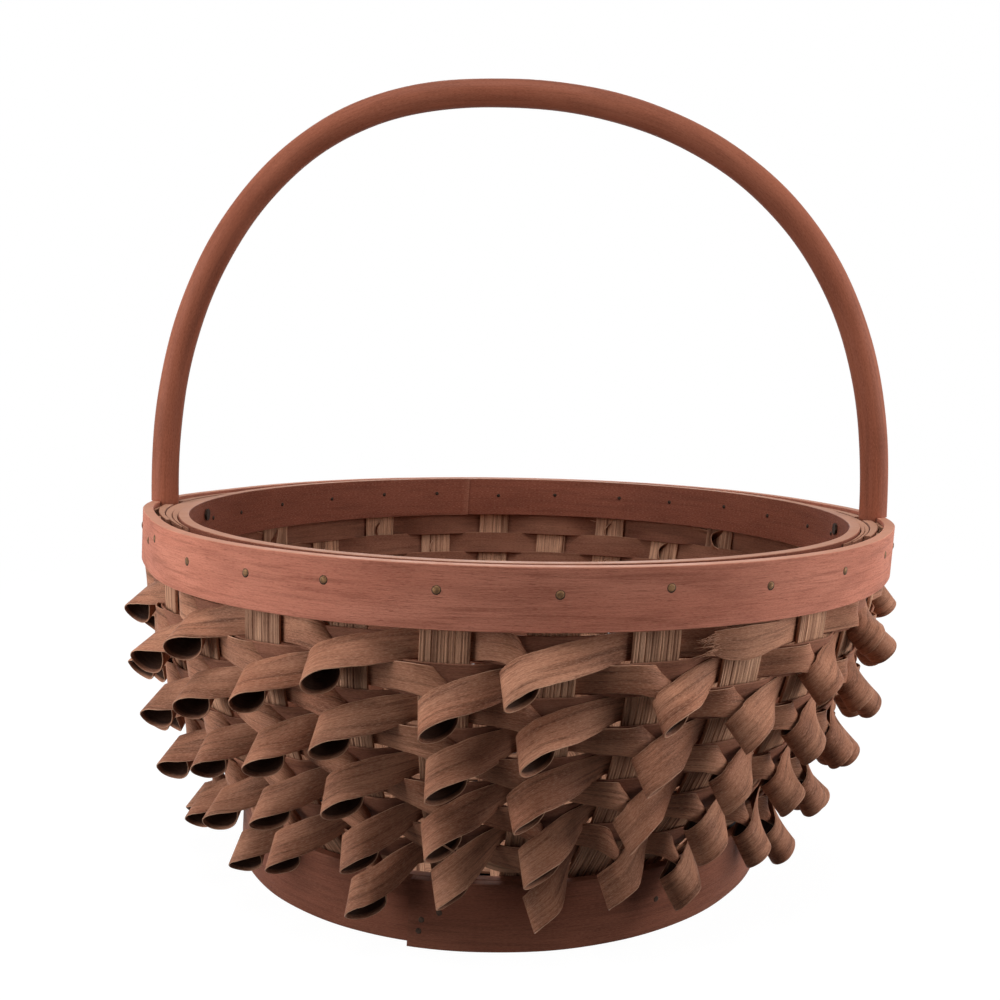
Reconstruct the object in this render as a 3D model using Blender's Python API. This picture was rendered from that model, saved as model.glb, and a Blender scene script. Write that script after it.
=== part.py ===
"""Round chipwood foraging basket with a bent handle and rows of curled weavers.

The basket stands on a bentwood foot hoop. Fourteen flat splint strips cross in a woven base, bend up
and become the twenty-eight stakes of the wall. Nine plain weavers go round them, and beside each runs a
curled weaver, which makes an outward loop over every second stake. Two hoops clamp the stakes' ends and
the tongues of the handle at the rim. The front of the basket faces -Y, and the handle stands over X.
"""

import copy
import math
import random

import bmesh
import bpy
from mathutils import Matrix, Vector

MM = 0.001

# Fits between pieces
GAP = 0.3 * MM
OVERRUN = 3 * MM

# Stakes and the strips that they are the ends of
STAKE_COUNT = 28
STAKE_WIDTH = 15.4 * MM
STAKE_THICKNESS = 1.3 * MM
STAKE_TURN = 3.8
STRIP_COUNT_EACH_WAY = STAKE_COUNT // 4

# Rim
RIM_TOP = 136 * MM
RIM_RADIUS = 147.3 * MM
RIM_BAND_HEIGHT = 19.4 * MM
RIM_BAND_THICKNESS = 4.0 * MM
RIM_BULGE_LEFT = 6.8 * MM
RIM_BULGE_RIGHT = 3.4 * MM
RIM_BULGE_SPREAD = 26
INNER_HOOP_SQUEEZE = 5.2 * MM
STAKE_END_DROP = 0.6 * MM
FILLER_DROP = 1.0 * MM
FILLER_LIFT = 2.0 * MM
FILLER_SPREAD = 34
FILLER_TIP = 0.8 * MM
SHIM_SPREAD = 23
SHIM_CLEARANCE = 0.6 * MM
SCARF_SPREAD = 18
SCARF_LEAD = 3
SCARF_TIP = 0.6 * MM
OUTER_SCARF_START = 150
INNER_SCARF_START = 190
BAND_STEP = 6
SHIM_STEP = 4

# Handle
HANDLE_DIAMETER = 11.1 * MM
HANDLE_RISE = 173.4 * MM
HANDLE_TURN = -2.6
HANDLE_OVERHANG = 1.2 * MM
HANDLE_FULLNESS = 2.25
HANDLE_SKEW = 10.8 * MM
HANDLE_SKEW_POWER = 5
HANDLE_SIDE_COUNT = 10
LEGS = ((-1, "left"), (1, "right"))
HANDLE_STEP_COUNT = 30
NOTCH_CLEARANCE = 0.6 * MM
NOTCH_SPREAD = 7
NAIL_SHANK = 1.6 * MM
NAIL_HEAD = 5.0 * MM
NAIL_HEAD_THICKNESS = 0.8 * MM
NAIL_SPACING = 8 * MM
NAIL_SIDE_COUNT = 8

# Foot
FOOT_INNER_RADIUS = 104.2 * MM
FOOT_HEIGHT = 23.6 * MM
FOOT_THICKNESS = 3.4 * MM
FOOT_LAP_START = -16
FOOT_LAP_SPREAD = 28
FOOT_RAMP_SPREAD = 85
FOOT_END_SHARE = 0.1

# Base, woven flat above the floor
BASE_HEIGHT = 7.0 * MM
BASE_INSET = 12.8 * MM
BEND_INSET = 4.8 * MM
BEND_HEIGHT = 14.5 * MM
BEND_ROLL = 0.7

# Wall
WALL_FOOT_GAP = 0.6 * MM
WALL_POWER = 1.95
FACET_COUNT = 5
FACET_ROW_COUNT = 2

# Weavers
ROW_COUNT = 9
FIRST_ROW = 5.4 * MM
ROW_PITCH = 10.35 * MM
WEAVER_WIDTH = 9.4 * MM
WEAVER_THICKNESS = 0.9 * MM
EDGE_CLEARANCE = 0.5 * MM
TWIST_ROOM = 0.45 * MM
LOCKING_WIDTH = 4.6 * MM
LOCKING_THICKNESS = 1.1 * MM
LOCKING_GAP = 1.2 * MM
END_GAP = 1.2 * MM

# Curls
CURL_WIDTH = 11.4 * MM
CURL_TUCK_WIDTH = 9.2 * MM
CURL_THICKNESS = 0.7 * MM
CURL_HALF_SPAN = 5.4 * MM
CURL_HALF_DEPTH = 3.5 * MM
CURL_TIGHTENING = 0.3
CURL_ASIDE = 0.5 * MM
CURL_OUT = 7.1 * MM
CURL_DROP = 6.2 * MM
HANG_LEAN_SHARE = 0.7
HANG_PIVOT = 5.4 * MM
CURL_SAG = 3.7 * MM
CURL_CLIMB = 9.4 * MM
CURL_DIP = 66
CURL_SLANT = 20
CURL_FLARE_SHARE = 0.11
CURL_FIRST_TURN = 70
CURL_LAST_TURN = 374
CURL_STATION_COUNT = 5
CURL_TAIL_SHARE = 0.58
CURL_TAIL_OUT = 4.0 * MM
CURL_TAIL_RISE = -0.4 * MM
CURL_TAIL_WIDTH = 7.2 * MM
CURL_NARROWING = 2.4 * MM
CURL_ASIDE_VARIATION = 0.3 * MM
CURL_SLANT_VARIATION = 0.5
LAP_REACH = 10 * MM
LAP_STAKE_NUMBERS = (2, 13, 16, 11, 14, 17, 12, 15, 10)

# Hand-made set of the body: the rim sits aside of the foot and a little low at the right
RIM_ASIDE = 8.4 * MM
RIM_TILT = 0.018

SEED = 11
SEARCH_COUNT = 40

FULL_TURN = 360
HALF_TURN = 180


def shader_colour(red, green, blue):
    """Linear colour from the red, green and blue that the eye sees, given out of 255."""
    return tuple((part / 255) ** 2.2 for part in (red, green, blue)) + (1.0,)


def make_material(name, colour, roughness, metallic=0.0):
    material = bpy.data.materials.new(name)
    material.use_nodes = True
    shader = material.node_tree.nodes["Principled BSDF"]
    shader.inputs["Base Color"].default_value = colour
    shader.inputs["Roughness"].default_value = roughness
    shader.inputs["Metallic"].default_value = metallic
    material.diffuse_color = colour
    return material


def clear_scene():
    for thing in list(bpy.data.objects):
        bpy.data.objects.remove(thing)


def compass(azimuth):
    """Outward unit vector at an azimuth in degrees, counted from the front towards the right."""
    angle = math.radians(azimuth)
    return Vector((math.sin(angle), -math.cos(angle), 0))


def sideways(azimuth):
    """Unit vector along the rim at an azimuth, towards growing azimuth."""
    angle = math.radians(azimuth)
    return Vector((math.cos(angle), math.sin(angle), 0))


def settled(point):
    """A point moved by the hand-made set of the body."""
    share = min(point.z / RIM_TOP, 1.0)
    above = max(point.z - RIM_TOP, 0)
    return Vector((point.x + RIM_ASIDE * share + RIM_TILT * above, point.y, point.z - RIM_TILT * point.x * share))


def add_object(name, mesh, material):
    thing = bpy.data.objects.new(name, mesh)
    bpy.context.collection.objects.link(thing)
    mesh.materials.clear()
    mesh.materials.append(material)
    return thing


def loft(name, sections, material, twisted=False):
    """A solid through sections, which are rings of as many points each.

    The four-sided faces of a twisted strip are split so that its two broad sides stay parallel.
    """
    count = len(sections[0])
    points = [point for section in sections for point in section]
    faces = [tuple(range(count)), tuple(reversed(range((len(sections) - 1) * count, len(sections) * count)))]
    for row in range(len(sections) - 1):
        below = row * count
        above = below + count
        for side in range(count):
            following = (side + 1) % count
            face = (below + side, above + side, above + following, below + following)
            if not twisted:
                faces.append(face)
            elif side < count // 2:
                faces += [face[:3], (face[2], face[3], face[0])]
            else:
                faces += [(face[0], face[1], face[3]), face[1:]]
    mesh = bpy.data.meshes.new(name)
    mesh.from_pydata([tuple(point) for point in points], [], faces)
    tidy = bmesh.new()
    tidy.from_mesh(mesh)
    bmesh.ops.recalc_face_normals(tidy, faces=tidy.faces)
    if tidy.calc_volume(signed=True) < 0:
        bmesh.ops.reverse_faces(tidy, faces=tidy.faces)
    tidy.to_mesh(mesh)
    tidy.free()
    return add_object(name, mesh, material)


def flat_section(centre, across, outward, width, thickness):
    """The four corners of a strip's section."""
    half_width = across * width / 2
    half_thickness = outward * thickness / 2
    return (centre - half_width - half_thickness, centre + half_width - half_thickness,
            centre + half_width + half_thickness, centre - half_width + half_thickness)


def stake_azimuth(index):
    return STAKE_TURN + index * FULL_TURN / STAKE_COUNT


def handle_offset(azimuth):
    """Degrees from the nearer leg of the handle."""
    turned = (azimuth - HANDLE_TURN) % HALF_TURN
    return turned - HALF_TURN / 2


def rim_outside(azimuth):
    """Outer radius of the rim, which bulges over the handle's tongues."""
    share = min(abs(handle_offset(azimuth)) / RIM_BULGE_SPREAD, 1)
    right = (azimuth - HANDLE_TURN) % FULL_TURN < HALF_TURN
    bulge = RIM_BULGE_RIGHT if right else RIM_BULGE_LEFT
    return RIM_RADIUS + bulge * math.cos(share * math.pi / 2) ** 2


def outer_hoop_inside(azimuth):
    return rim_outside(azimuth) - RIM_BAND_THICKNESS


def chord_rise(width, radius):
    """How far the middle of a flat strip lies inside the circle that its edges touch."""
    return radius - math.sqrt(radius ** 2 - (width / 2) ** 2)


def stake_clamp(azimuth):
    """Middle, run along the rim and outward direction of a stake's flat end between the hoops."""
    half = math.degrees(STAKE_WIDTH / 2 / RIM_RADIUS)
    before = compass(azimuth - half) * outer_hoop_inside(azimuth - half)
    after = compass(azimuth + half) * outer_hoop_inside(azimuth + half)
    across = (after - before).normalized()
    outward = across.cross(Vector((0, 0, 1)))
    return (before + after) / 2 - outward * (GAP + STAKE_THICKNESS / 2), across, outward


def inner_hoop_outside(azimuth):
    """Outer radius of the inner hoop, an oval that the handle presses inwards."""
    hollow = chord_rise(STAKE_WIDTH, RIM_RADIUS)
    long_half = RIM_RADIUS - RIM_BAND_THICKNESS - hollow - STAKE_THICKNESS - 2 * GAP
    short_half = long_half - INNER_HOOP_SQUEEZE
    angle = math.radians(handle_offset(azimuth))
    return 1 / math.hypot(math.cos(angle) / short_half, math.sin(angle) / long_half)


def inner_hoop_inside(azimuth):
    return inner_hoop_outside(azimuth) - RIM_BAND_THICKNESS


def leg_azimuth(side):
    """Azimuth of the handle's right leg (side 1) or left leg (side -1)."""
    return side * HALF_TURN / 2 + HANDLE_TURN


def leg_radius(side):
    """Distance of a leg's centre line from the basket's middle."""
    return rim_outside(leg_azimuth(side)) + HANDLE_OVERHANG - HANDLE_DIAMETER / 2


def filler_inside(azimuth):
    return inner_hoop_outside(azimuth) + GAP


def filler_outside(azimuth):
    """Outer face of a filler: it backs the handle's tongue and thins out to both sides."""
    side = 1 if (azimuth - HANDLE_TURN) % FULL_TURN < HALF_TURN else -1
    deepest = leg_radius(side) - HANDLE_DIAMETER / 2 - GAP - filler_inside(leg_azimuth(side))
    share = min(abs(handle_offset(azimuth)) / FILLER_SPREAD, 1)
    return filler_inside(azimuth) + FILLER_TIP + (deepest - FILLER_TIP) * math.cos(share * math.pi / 2) ** 2


def shim_outside(azimuth):
    return outer_hoop_inside(azimuth) - chord_rise(STAKE_WIDTH, RIM_RADIUS) - STAKE_THICKNESS - 2 * GAP


def base_radius():
    return FOOT_INNER_RADIUS - BASE_INSET


def bend_radius():
    return FOOT_INNER_RADIUS - BEND_INSET


def wall_point(share):
    """Radius and height of the wall's middle surface, at a share of its drop from the rim band to the foot."""
    top = RIM_RADIUS - RIM_BAND_THICKNESS - GAP - STAKE_THICKNESS / 2
    foot = FOOT_INNER_RADIUS - chord_rise(STAKE_WIDTH, FOOT_INNER_RADIUS) - WALL_FOOT_GAP - STAKE_THICKNESS / 2
    height = RIM_TOP - RIM_BAND_HEIGHT
    return top - (top - foot) * share ** WALL_POWER, height - (height - FOOT_HEIGHT) * share


def facet_end(start, length):
    """The share of the wall's drop at which a facet of a given length ends."""
    before = wall_point(start)
    low, high = start, 1
    for _ in range(SEARCH_COUNT):
        middle = (low + high) / 2
        if math.dist(before, wall_point(middle)) < length:
            low = middle
        else:
            high = middle
    return low


def wall_profile():
    """Radius and height of the wall's corners, from the rim band's lower edge to the foot.

    Each flat facet between two corners carries two rows of weavers, and the last one runs on to the foot.
    """
    share = 0
    length = FIRST_ROW + (FACET_ROW_COUNT - 0.5) * ROW_PITCH
    corners = [wall_point(share)]
    for _ in range(FACET_COUNT - 1):
        share = facet_end(share, length)
        corners.append(wall_point(share))
        length = FACET_ROW_COUNT * ROW_PITCH
    corners.append(wall_point(1))
    return corners


def rim_swell(azimuth):
    """How far the rim's bulge over the handle carries the tops of the stakes outwards."""
    return rim_outside(azimuth) - RIM_RADIUS


class WallRow:
    """A place down the wall: its radius and height, the wall's slope, and its share in the rim's bulge.

    Its room is what a weaver keeps from a stake: more in the rows where the bulge twists the stakes.
    """

    def __init__(self, depth):
        corners = wall_profile()
        self.depth = depth
        self.swell_share = 0
        self.swell_slope = 0
        left = depth
        for number, ((radius, height), (next_radius, next_height)) in enumerate(zip(corners, corners[1:])):
            length = math.hypot(next_radius - radius, next_height - height)
            if left <= length or number == FACET_COUNT - 1:
                break
            left -= length
        share = left / length
        self.radius = radius + (next_radius - radius) * share
        self.height = height + (next_height - height) * share
        self.lean = math.atan2(radius - next_radius, height - next_height)
        self.room = GAP
        if number == 0:
            self.room = GAP + TWIST_ROOM
            self.swell_share = 1 - share
            self.swell_slope = 1 / length

    def hanging(self):
        """The same row for what hangs free of the wall, more upright, from a pivot above the row."""
        other = copy.copy(self)
        other.lean = self.lean * HANG_LEAN_SHARE
        other.radius = self.radius + HANG_PIVOT * math.sin(self.lean - other.lean)
        return other

    def slope(self, azimuth):
        return self.lean + math.atan(rim_swell(azimuth) * self.swell_slope)

    def up(self, azimuth):
        slope = self.slope(azimuth)
        return compass(azimuth) * math.sin(slope) + Vector((0, 0, math.cos(slope)))

    def out(self, azimuth):
        slope = self.slope(azimuth)
        return compass(azimuth) * math.cos(slope) - Vector((0, 0, math.sin(slope)))

    def point(self, azimuth, along, out, up):
        """A point given by its way along the row from an azimuth, out of the wall and up it."""
        place = azimuth + math.degrees(along / self.radius)
        centre = compass(place) * (self.radius + rim_swell(place) * self.swell_share)
        return centre + Vector((0, 0, self.height)) + self.out(place) * out + self.up(place) * up

    def direction(self, azimuth, along, out, up):
        return sideways(azimuth) * along + self.out(azimuth) * out + self.up(azimuth) * up


def corner_rows():
    """The wall's corners as rows whose slope halves the angle there."""
    corners = wall_profile()
    rows = []
    for index, (radius, height) in enumerate(corners):
        before = corners[max(index - 1, 0)]
        after = corners[min(index + 1, len(corners) - 1)]
        row = WallRow(0)
        row.radius, row.height = radius, height
        row.lean = math.atan2(before[0] - after[0], before[1] - after[1])
        rows.append(row)
    return rows


def wall_sections(azimuth):
    """Sections of a stake from its clamped end down the wall to the bend into the base."""
    clamped, along, square = stake_clamp(azimuth)
    sections = []
    for height in (RIM_TOP - STAKE_END_DROP, RIM_TOP - RIM_BAND_HEIGHT):
        sections.append((clamped + Vector((0, 0, height)), along, square))
    for row in corner_rows()[1:]:
        centre = compass(azimuth) * row.radius + Vector((0, 0, row.height))
        sections.append((centre, sideways(azimuth), row.out(azimuth)))
    band_edge, first_corner = sections[1], sections[2]
    halfway = tuple((upper + lower) / 2 for upper, lower in zip(band_edge, first_corner))
    return sections[:2] + [halfway] + sections[2:]


def base_run(offset, turn, across_sign):
    """Sections of a strip through the woven base, between its two bends."""
    forward = compass(turn)
    aside = sideways(turn)
    up = Vector((0, 0, 1))
    side = base_radius() * math.sin(math.radians(offset * FULL_TURN / STAKE_COUNT))
    lift = (STAKE_THICKNESS + GAP) / 2
    sections = []
    order = range(-(STRIP_COUNT_EACH_WAY // 2), STRIP_COUNT_EACH_WAY // 2 + 1)
    for crossing in order:
        middle = base_radius() * math.sin(math.radians(crossing * FULL_TURN / STAKE_COUNT))
        over = across_sign if (crossing + offset) % 2 else -across_sign
        height = BASE_HEIGHT + over * lift
        for edge in (-1, 1):
            reach = middle + edge * (STAKE_WIDTH / 2 + EDGE_CLEARANCE)
            sections.append((forward * -reach + aside * side + up * height, aside, -up))
    return sections


def stake_strip(name, offset, turn, over_sign, material):
    """One strip: down the wall as a stake, through the base, and up the other wall."""
    spacing = FULL_TURN / STAKE_COUNT
    near = turn + offset * spacing
    far = turn + HALF_TURN - offset * spacing
    forward = compass(turn)
    aside = sideways(turn)
    up = Vector((0, 0, 1))
    side = base_radius() * math.sin(math.radians(offset * spacing))
    reach = base_radius() * math.cos(math.radians(offset * spacing))

    def bend(azimuth, direction):
        outward = compass(azimuth)
        foot = wall_point(1)
        slope = math.atan2(foot[0] - bend_radius(), foot[1] - BEND_HEIGHT)
        out = outward * math.cos(slope) - up * math.sin(slope)
        middle = (sideways(azimuth) + aside * direction).normalized()
        lower = forward * direction * reach + aside * side + up * BASE_HEIGHT
        low_out = (out.lerp(-up, BEND_ROLL)).normalized()
        return [(outward * bend_radius() + up * BEND_HEIGHT, sideways(azimuth), out), (lower, middle, low_out)]

    down = wall_sections(near) + bend(near, 1)
    rise = [(centre, -across, out) for centre, across, out in wall_sections(far) + bend(far, -1)]
    path = down + base_run(offset, turn, over_sign) + list(reversed(rise))
    sections = [flat_section(centre, across, out, STAKE_WIDTH, STAKE_THICKNESS) for centre, across, out in path]
    return loft(name, sections, material, twisted=True)


def plain_weaver(name, depth, width, thickness, inside_room, start_stake, material):
    """A weaver that goes outside one stake and inside the next, right round.

    It lies flat over each stake that it passes outside, and comes to a ridge behind each of the others.
    Its two ends meet behind a stake.
    """
    row = WallRow(depth)
    outside = STAKE_THICKNESS / 2 + row.room + thickness / 2
    inside = -(STAKE_THICKNESS / 2 + row.room + inside_room + thickness / 2)
    edge = STAKE_WIDTH / 2 + EDGE_CLEARANCE
    pitch = math.radians(FULL_TURN / STAKE_COUNT) * row.radius
    ridge = inside - (outside - inside) / (pitch - 2 * edge) * edge
    stations = [(start_stake, END_GAP / 2, ridge)]
    for stake in range(start_stake + 1, start_stake + STAKE_COUNT):
        if (stake - start_stake) % 2:
            stations += [(stake, -edge, outside), (stake, edge, outside)]
        else:
            stations.append((stake, 0, ridge))
    stations.append((start_stake + STAKE_COUNT, -END_GAP / 2, ridge))
    sections = []
    for stake, way, out in stations:
        place = stake_azimuth(stake) + math.degrees(way / row.radius)
        centre = row.point(stake_azimuth(stake), way, out, 0)
        sections.append(flat_section(centre, row.up(place), row.out(place), width, thickness))
    return loft(name, sections, material, twisted=True)


def tuck_out(row):
    return -(STAKE_THICKNESS / 2 + row.room + CURL_THICKNESS / 2)


class Station:
    """A place on a curled strip, with its width and width direction, all as (along, out, up).

    The strip's thickness goes square to its width and its way on, or square to its width and its facing.
    """

    def __init__(self, place, width, width_way=(0, 0, -1), facing=None):
        self.place = Vector(place)
        self.width = width
        self.width_way = Vector(width_way).normalized()
        self.facing = facing


def tuck_reach(row):
    """Distance along the row from a stake's middle to the near edge of the next stake."""
    return math.radians(FULL_TURN / STAKE_COUNT) * row.radius - STAKE_WIDTH / 2 - EDGE_CLEARANCE


def curl_stations(row, variation):
    """Stations of the strip through one curl, from the right stake to the left.

    The strip leaves the wall, turns once round a short cone whose open end points out and down, and comes
    back to the wall behind itself, higher up.
    """
    reach = tuck_reach(row)
    dip = math.radians(CURL_DIP)
    slant = math.radians(CURL_SLANT + variation.uniform(-1, 1) * CURL_SLANT_VARIATION)
    aside = CURL_ASIDE + variation.uniform(-1, 1) * CURL_ASIDE_VARIATION
    level = Vector((1, 0, 0))
    cone = Vector((0, math.cos(dip), -math.sin(dip)))
    axis = cone * math.cos(slant) + level * math.sin(slant)
    side = level * math.cos(slant) - cone * math.sin(slant)
    crown = Vector((0, math.sin(dip), math.cos(dip)))
    middle = Vector((-aside, CURL_OUT, -CURL_DROP))
    stations = [Station((reach, tuck_out(row), 0), CURL_TUCK_WIDTH)]
    for number in range(CURL_STATION_COUNT):
        turn = CURL_FIRST_TURN + (CURL_LAST_TURN - CURL_FIRST_TURN) * number / (CURL_STATION_COUNT - 1)
        share = (turn - CURL_FIRST_TURN) / FULL_TURN
        east, front = math.cos(math.radians(turn)), math.sin(math.radians(turn))
        spoke = side * east * CURL_HALF_SPAN + crown * front * CURL_HALF_DEPTH
        climb = CURL_CLIMB * share ** 2 - 4 * CURL_SAG * share * (1 - share)
        narrowing = CURL_NARROWING * number / (CURL_STATION_COUNT - 1)
        place = middle + spoke * (1 - CURL_TIGHTENING * share ** 2) - axis * (climb - narrowing / 2)
        flare = (side * east + crown * front) * CURL_FLARE_SHARE
        facing = side * east / CURL_HALF_SPAN + crown * front / CURL_HALF_DEPTH
        stations.append(Station(place, CURL_WIDTH - narrowing, axis + flare, facing))
    tail = -reach + (reach + place.x) * CURL_TAIL_SHARE
    rise = min(CURL_TAIL_RISE, row.depth - CURL_TAIL_WIDTH / 2 - GAP)
    stations.append(Station((tail, CURL_TAIL_OUT, rise), CURL_TAIL_WIDTH))
    stations.append(Station((-reach, tuck_out(row), 0), CURL_TUCK_WIDTH))
    return stations


def lap_stations(row, layer):
    """The strip lying flat over the lap's stake, in the inner or the outer layer."""
    base = STAKE_THICKNESS / 2 + row.room + WEAVER_THICKNESS + GAP + CURL_THICKNESS / 2
    out = base + layer * (CURL_THICKNESS + GAP)
    return [Station((way * LAP_REACH, out, CURL_TAIL_RISE), CURL_TAIL_WIDTH) for way in (1, -1)]


def curled_weaver(name, number, material):
    """The curled strip of one row: from its lap leftwards round the basket, back over its own start."""
    row = WallRow(FIRST_ROW + (number - 1) * ROW_PITCH)
    hanging = row.hanging()
    variation = random.Random(SEED + number)
    lap_stake = LAP_STAKE_NUMBERS[number - 1]
    reach = tuck_reach(row)
    entry = Station((reach, tuck_out(row), 0), CURL_TUCK_WIDTH)
    leave = Station((-reach, tuck_out(row), 0), CURL_TUCK_WIDTH)
    path = [(lap_stake, row, station) for station in lap_stations(row, 0) + [leave]]
    for step in range(1, STAKE_COUNT // 2):
        stake = lap_stake - 2 * step
        for station in curl_stations(row, variation):
            path.append((stake, hanging if station.place.y > 0 else row, station))
    path += [(lap_stake - STAKE_COUNT, row, station) for station in [entry] + lap_stations(row, 1)]
    centres = [frame.point(stake_azimuth(stake), *station.place) for stake, frame, station in path]
    sections = []
    for index, (stake, frame, station) in enumerate(path):
        azimuth = stake_azimuth(stake) + math.degrees(station.place.x / row.radius)
        across = frame.direction(azimuth, *station.width_way)
        if station.facing:
            facing = frame.direction(azimuth, *station.facing)
            outward = (facing - across * facing.dot(across)).normalized()
        else:
            way_on = centres[min(index + 1, len(centres) - 1)] - centres[max(index - 1, 0)]
            outward = way_on.cross(across).normalized()
        sections.append(flat_section(centres[index], across, outward, station.width, CURL_THICKNESS))
    return loft(name, sections, material, twisted=True)


def band(name, inside, outside, start, spread, step, bottom, top, material):
    """A strip of wood round the vertical axis, between two radii that are functions of the turn."""
    count = max(2, round(abs(spread) / step))
    flatness = math.cos(math.radians(spread / count / 2))
    low = Vector((0, 0, bottom))
    high = Vector((0, 0, top))
    sections = []
    for index in range(count + 1):
        turn = start + spread * index / count
        inner = compass(turn) * inside(turn) / flatness
        outer = compass(turn) * outside(turn)
        sections.append((inner + low, outer + low, outer + high, inner + high))
    return loft(name, sections, material)


def scarfed_hoop(name, inside, outside, start, bottom, top, material):
    """A hoop bent from one strip, its ends thinned so that they lie over each other within its thickness."""

    def lap_face(turn):
        share = min(max((turn - start) / SCARF_SPREAD, 0), 1)
        low, high = inside(turn) + SCARF_TIP, outside(turn) - SCARF_TIP
        return low + (high - low) * share

    def strip_outside(turn):
        if turn < start + SCARF_SPREAD + SCARF_LEAD:
            return lap_face(turn) - GAP / 2
        return outside(turn)

    def strip_inside(turn):
        if turn > start + FULL_TURN - SCARF_LEAD:
            return lap_face(turn - FULL_TURN) + GAP / 2
        return inside(turn)

    return band(name, strip_inside, strip_outside, start, FULL_TURN + SCARF_SPREAD, BAND_STEP, bottom, top, material)


def foot_hoop(material):
    """The foot hoop: its outer end comes round the right side and lies over its inner end at the front."""
    lap_end = FOOT_LAP_START + FOOT_LAP_SPREAD
    finish = FOOT_LAP_START - FULL_TURN
    full = lap_end - FULL_TURN
    lift = FOOT_THICKNESS + GAP

    def inside(turn):
        share = (full + FOOT_RAMP_SPREAD - turn) / FOOT_RAMP_SPREAD
        share = min(max(share, 0), 1)
        return FOOT_INNER_RADIUS + lift * share

    def outside(turn):
        return inside(turn) + FOOT_THICKNESS

    start = lap_end - FOOT_LAP_SPREAD * FOOT_END_SHARE
    return band("foot_hoop", inside, outside, start, finish - start, BAND_STEP, 0, FOOT_HEIGHT, material)


def handle_path():
    """Centre points of the bow and its straight tongues, from the left foot over to the right."""
    left, right = leg_radius(-1), leg_radius(1)
    rise = HANDLE_RISE - HANDLE_DIAMETER / 2
    bottom = RIM_TOP - RIM_BAND_HEIGHT + FILLER_LIFT
    points = [(-left, bottom), (-left, RIM_TOP)]
    for step in range(1, HANDLE_STEP_COUNT):
        angle = math.pi * (1 - step / HANDLE_STEP_COUNT)
        half = right if math.cos(angle) > 0 else -left
        across = abs(math.cos(angle)) ** (2 / HANDLE_FULLNESS) * half
        height = math.sin(angle) ** (2 / HANDLE_FULLNESS)
        points.append((across - HANDLE_SKEW * height ** HANDLE_SKEW_POWER, RIM_TOP + rise * height))
    points += [(right, RIM_TOP), (right, bottom)]
    return points


def cut(thing, cutter):
    """Take a cutter's volume away from a piece."""
    modifier = thing.modifiers.new("cut", "BOOLEAN")
    modifier.operation = "DIFFERENCE"
    modifier.solver = "EXACT"
    modifier.object = cutter


def make_cutter(thing):
    thing.hide_render = True
    thing.display_type = "WIRE"
    return thing


def nail_places():
    """Azimuth and height of the four handle nails, two in each leg."""
    middle = RIM_TOP - RIM_BAND_HEIGHT / 2
    for side, name in LEGS:
        for number, shift in ((1, -1), (2, 1)):
            yield name, number, leg_azimuth(side), middle + shift * NAIL_SPACING / 2


def round_bar(name, azimuth, height, rings, material):
    """A turned piece lying along a radius: rings are (distance from the centre line, radius) pairs."""
    outward = compass(azimuth)
    across = sideways(azimuth)
    sections = []
    for distance, radius in rings:
        section = []
        for side in range(NAIL_SIDE_COUNT):
            angle = 2 * math.pi * side / NAIL_SIDE_COUNT
            spoke = across * math.cos(angle) + Vector((0, 0, math.sin(angle)))
            section.append(outward * distance + Vector((0, 0, height)) + spoke * radius)
        sections.append(section)
    return loft(name, sections, material)


def build_handle(material, hole_cutters):
    """The bow: a dowel swept along its path, notched where it passes behind the outer hoop."""
    outward = compass(leg_azimuth(1))
    front = -sideways(leg_azimuth(1))
    path = handle_path()
    sections = []
    for index, (across, height) in enumerate(path):
        before = path[max(index - 1, 0)]
        after = path[min(index + 1, len(path) - 1)]
        forward = Vector((after[0] - before[0], after[1] - before[1])).normalized()
        normal = outward * forward.y - Vector((0, 0, forward.x))
        centre = outward * across + Vector((0, 0, height))
        section = []
        for side in range(HANDLE_SIDE_COUNT):
            angle = 2 * math.pi * (side + 0.5) / HANDLE_SIDE_COUNT
            section.append(centre + (normal * math.cos(angle) + front * math.sin(angle)) * HANDLE_DIAMETER / 2)
        sections.append(section)
    handle = loft("handle_bow", sections, material)
    bottom = RIM_TOP - RIM_BAND_HEIGHT - OVERRUN
    for side, name in LEGS:
        middle = leg_azimuth(side)
        notch = band("notch_" + name, lambda turn: outer_hoop_inside(turn) - NOTCH_CLEARANCE,
                     lambda turn: rim_outside(turn) + OVERRUN, middle - NOTCH_SPREAD,
                     2 * NOTCH_SPREAD, NOTCH_SPREAD, bottom, RIM_TOP + GAP, material)
        cut(handle, make_cutter(notch))
    for cutter in hole_cutters:
        cut(handle, cutter)
    return handle


def build_rim(woods, hole_cutters):
    bottom = RIM_TOP - RIM_BAND_HEIGHT
    outer = scarfed_hoop("rim_hoop_outer", outer_hoop_inside, rim_outside, OUTER_SCARF_START, bottom,
                         RIM_TOP, woods["band"])
    inner = scarfed_hoop("rim_hoop_inner", inner_hoop_inside, inner_hoop_outside, INNER_SCARF_START, bottom,
                         RIM_TOP, woods["band"])
    low, high = bottom + FILLER_LIFT, RIM_TOP - FILLER_DROP
    fillers = []
    for side, name in LEGS:
        middle = leg_azimuth(side)
        fillers.append(band("rim_filler_" + name, filler_inside, filler_outside, middle - FILLER_SPREAD,
                            2 * FILLER_SPREAD, BAND_STEP, low, high, woods["filler"]))
        start = math.degrees((HANDLE_DIAMETER / 2 + SHIM_CLEARANCE) / leg_radius(side))
        ends = ((middle - SHIM_SPREAD, middle - start), (middle + start, middle + SHIM_SPREAD))
        for number, (first, last) in enumerate(ends):
            place = "front" if (number == 0) == (name == "right") else "back"
            band("rim_shim_%s_%s" % (name, place), lambda turn: filler_outside(turn) + GAP, shim_outside,
                 first, last - first, SHIM_STEP, low, high, woods["filler"])
    for thing in [outer, inner] + fillers:
        for cutter in hole_cutters:
            cut(thing, cutter)


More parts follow.
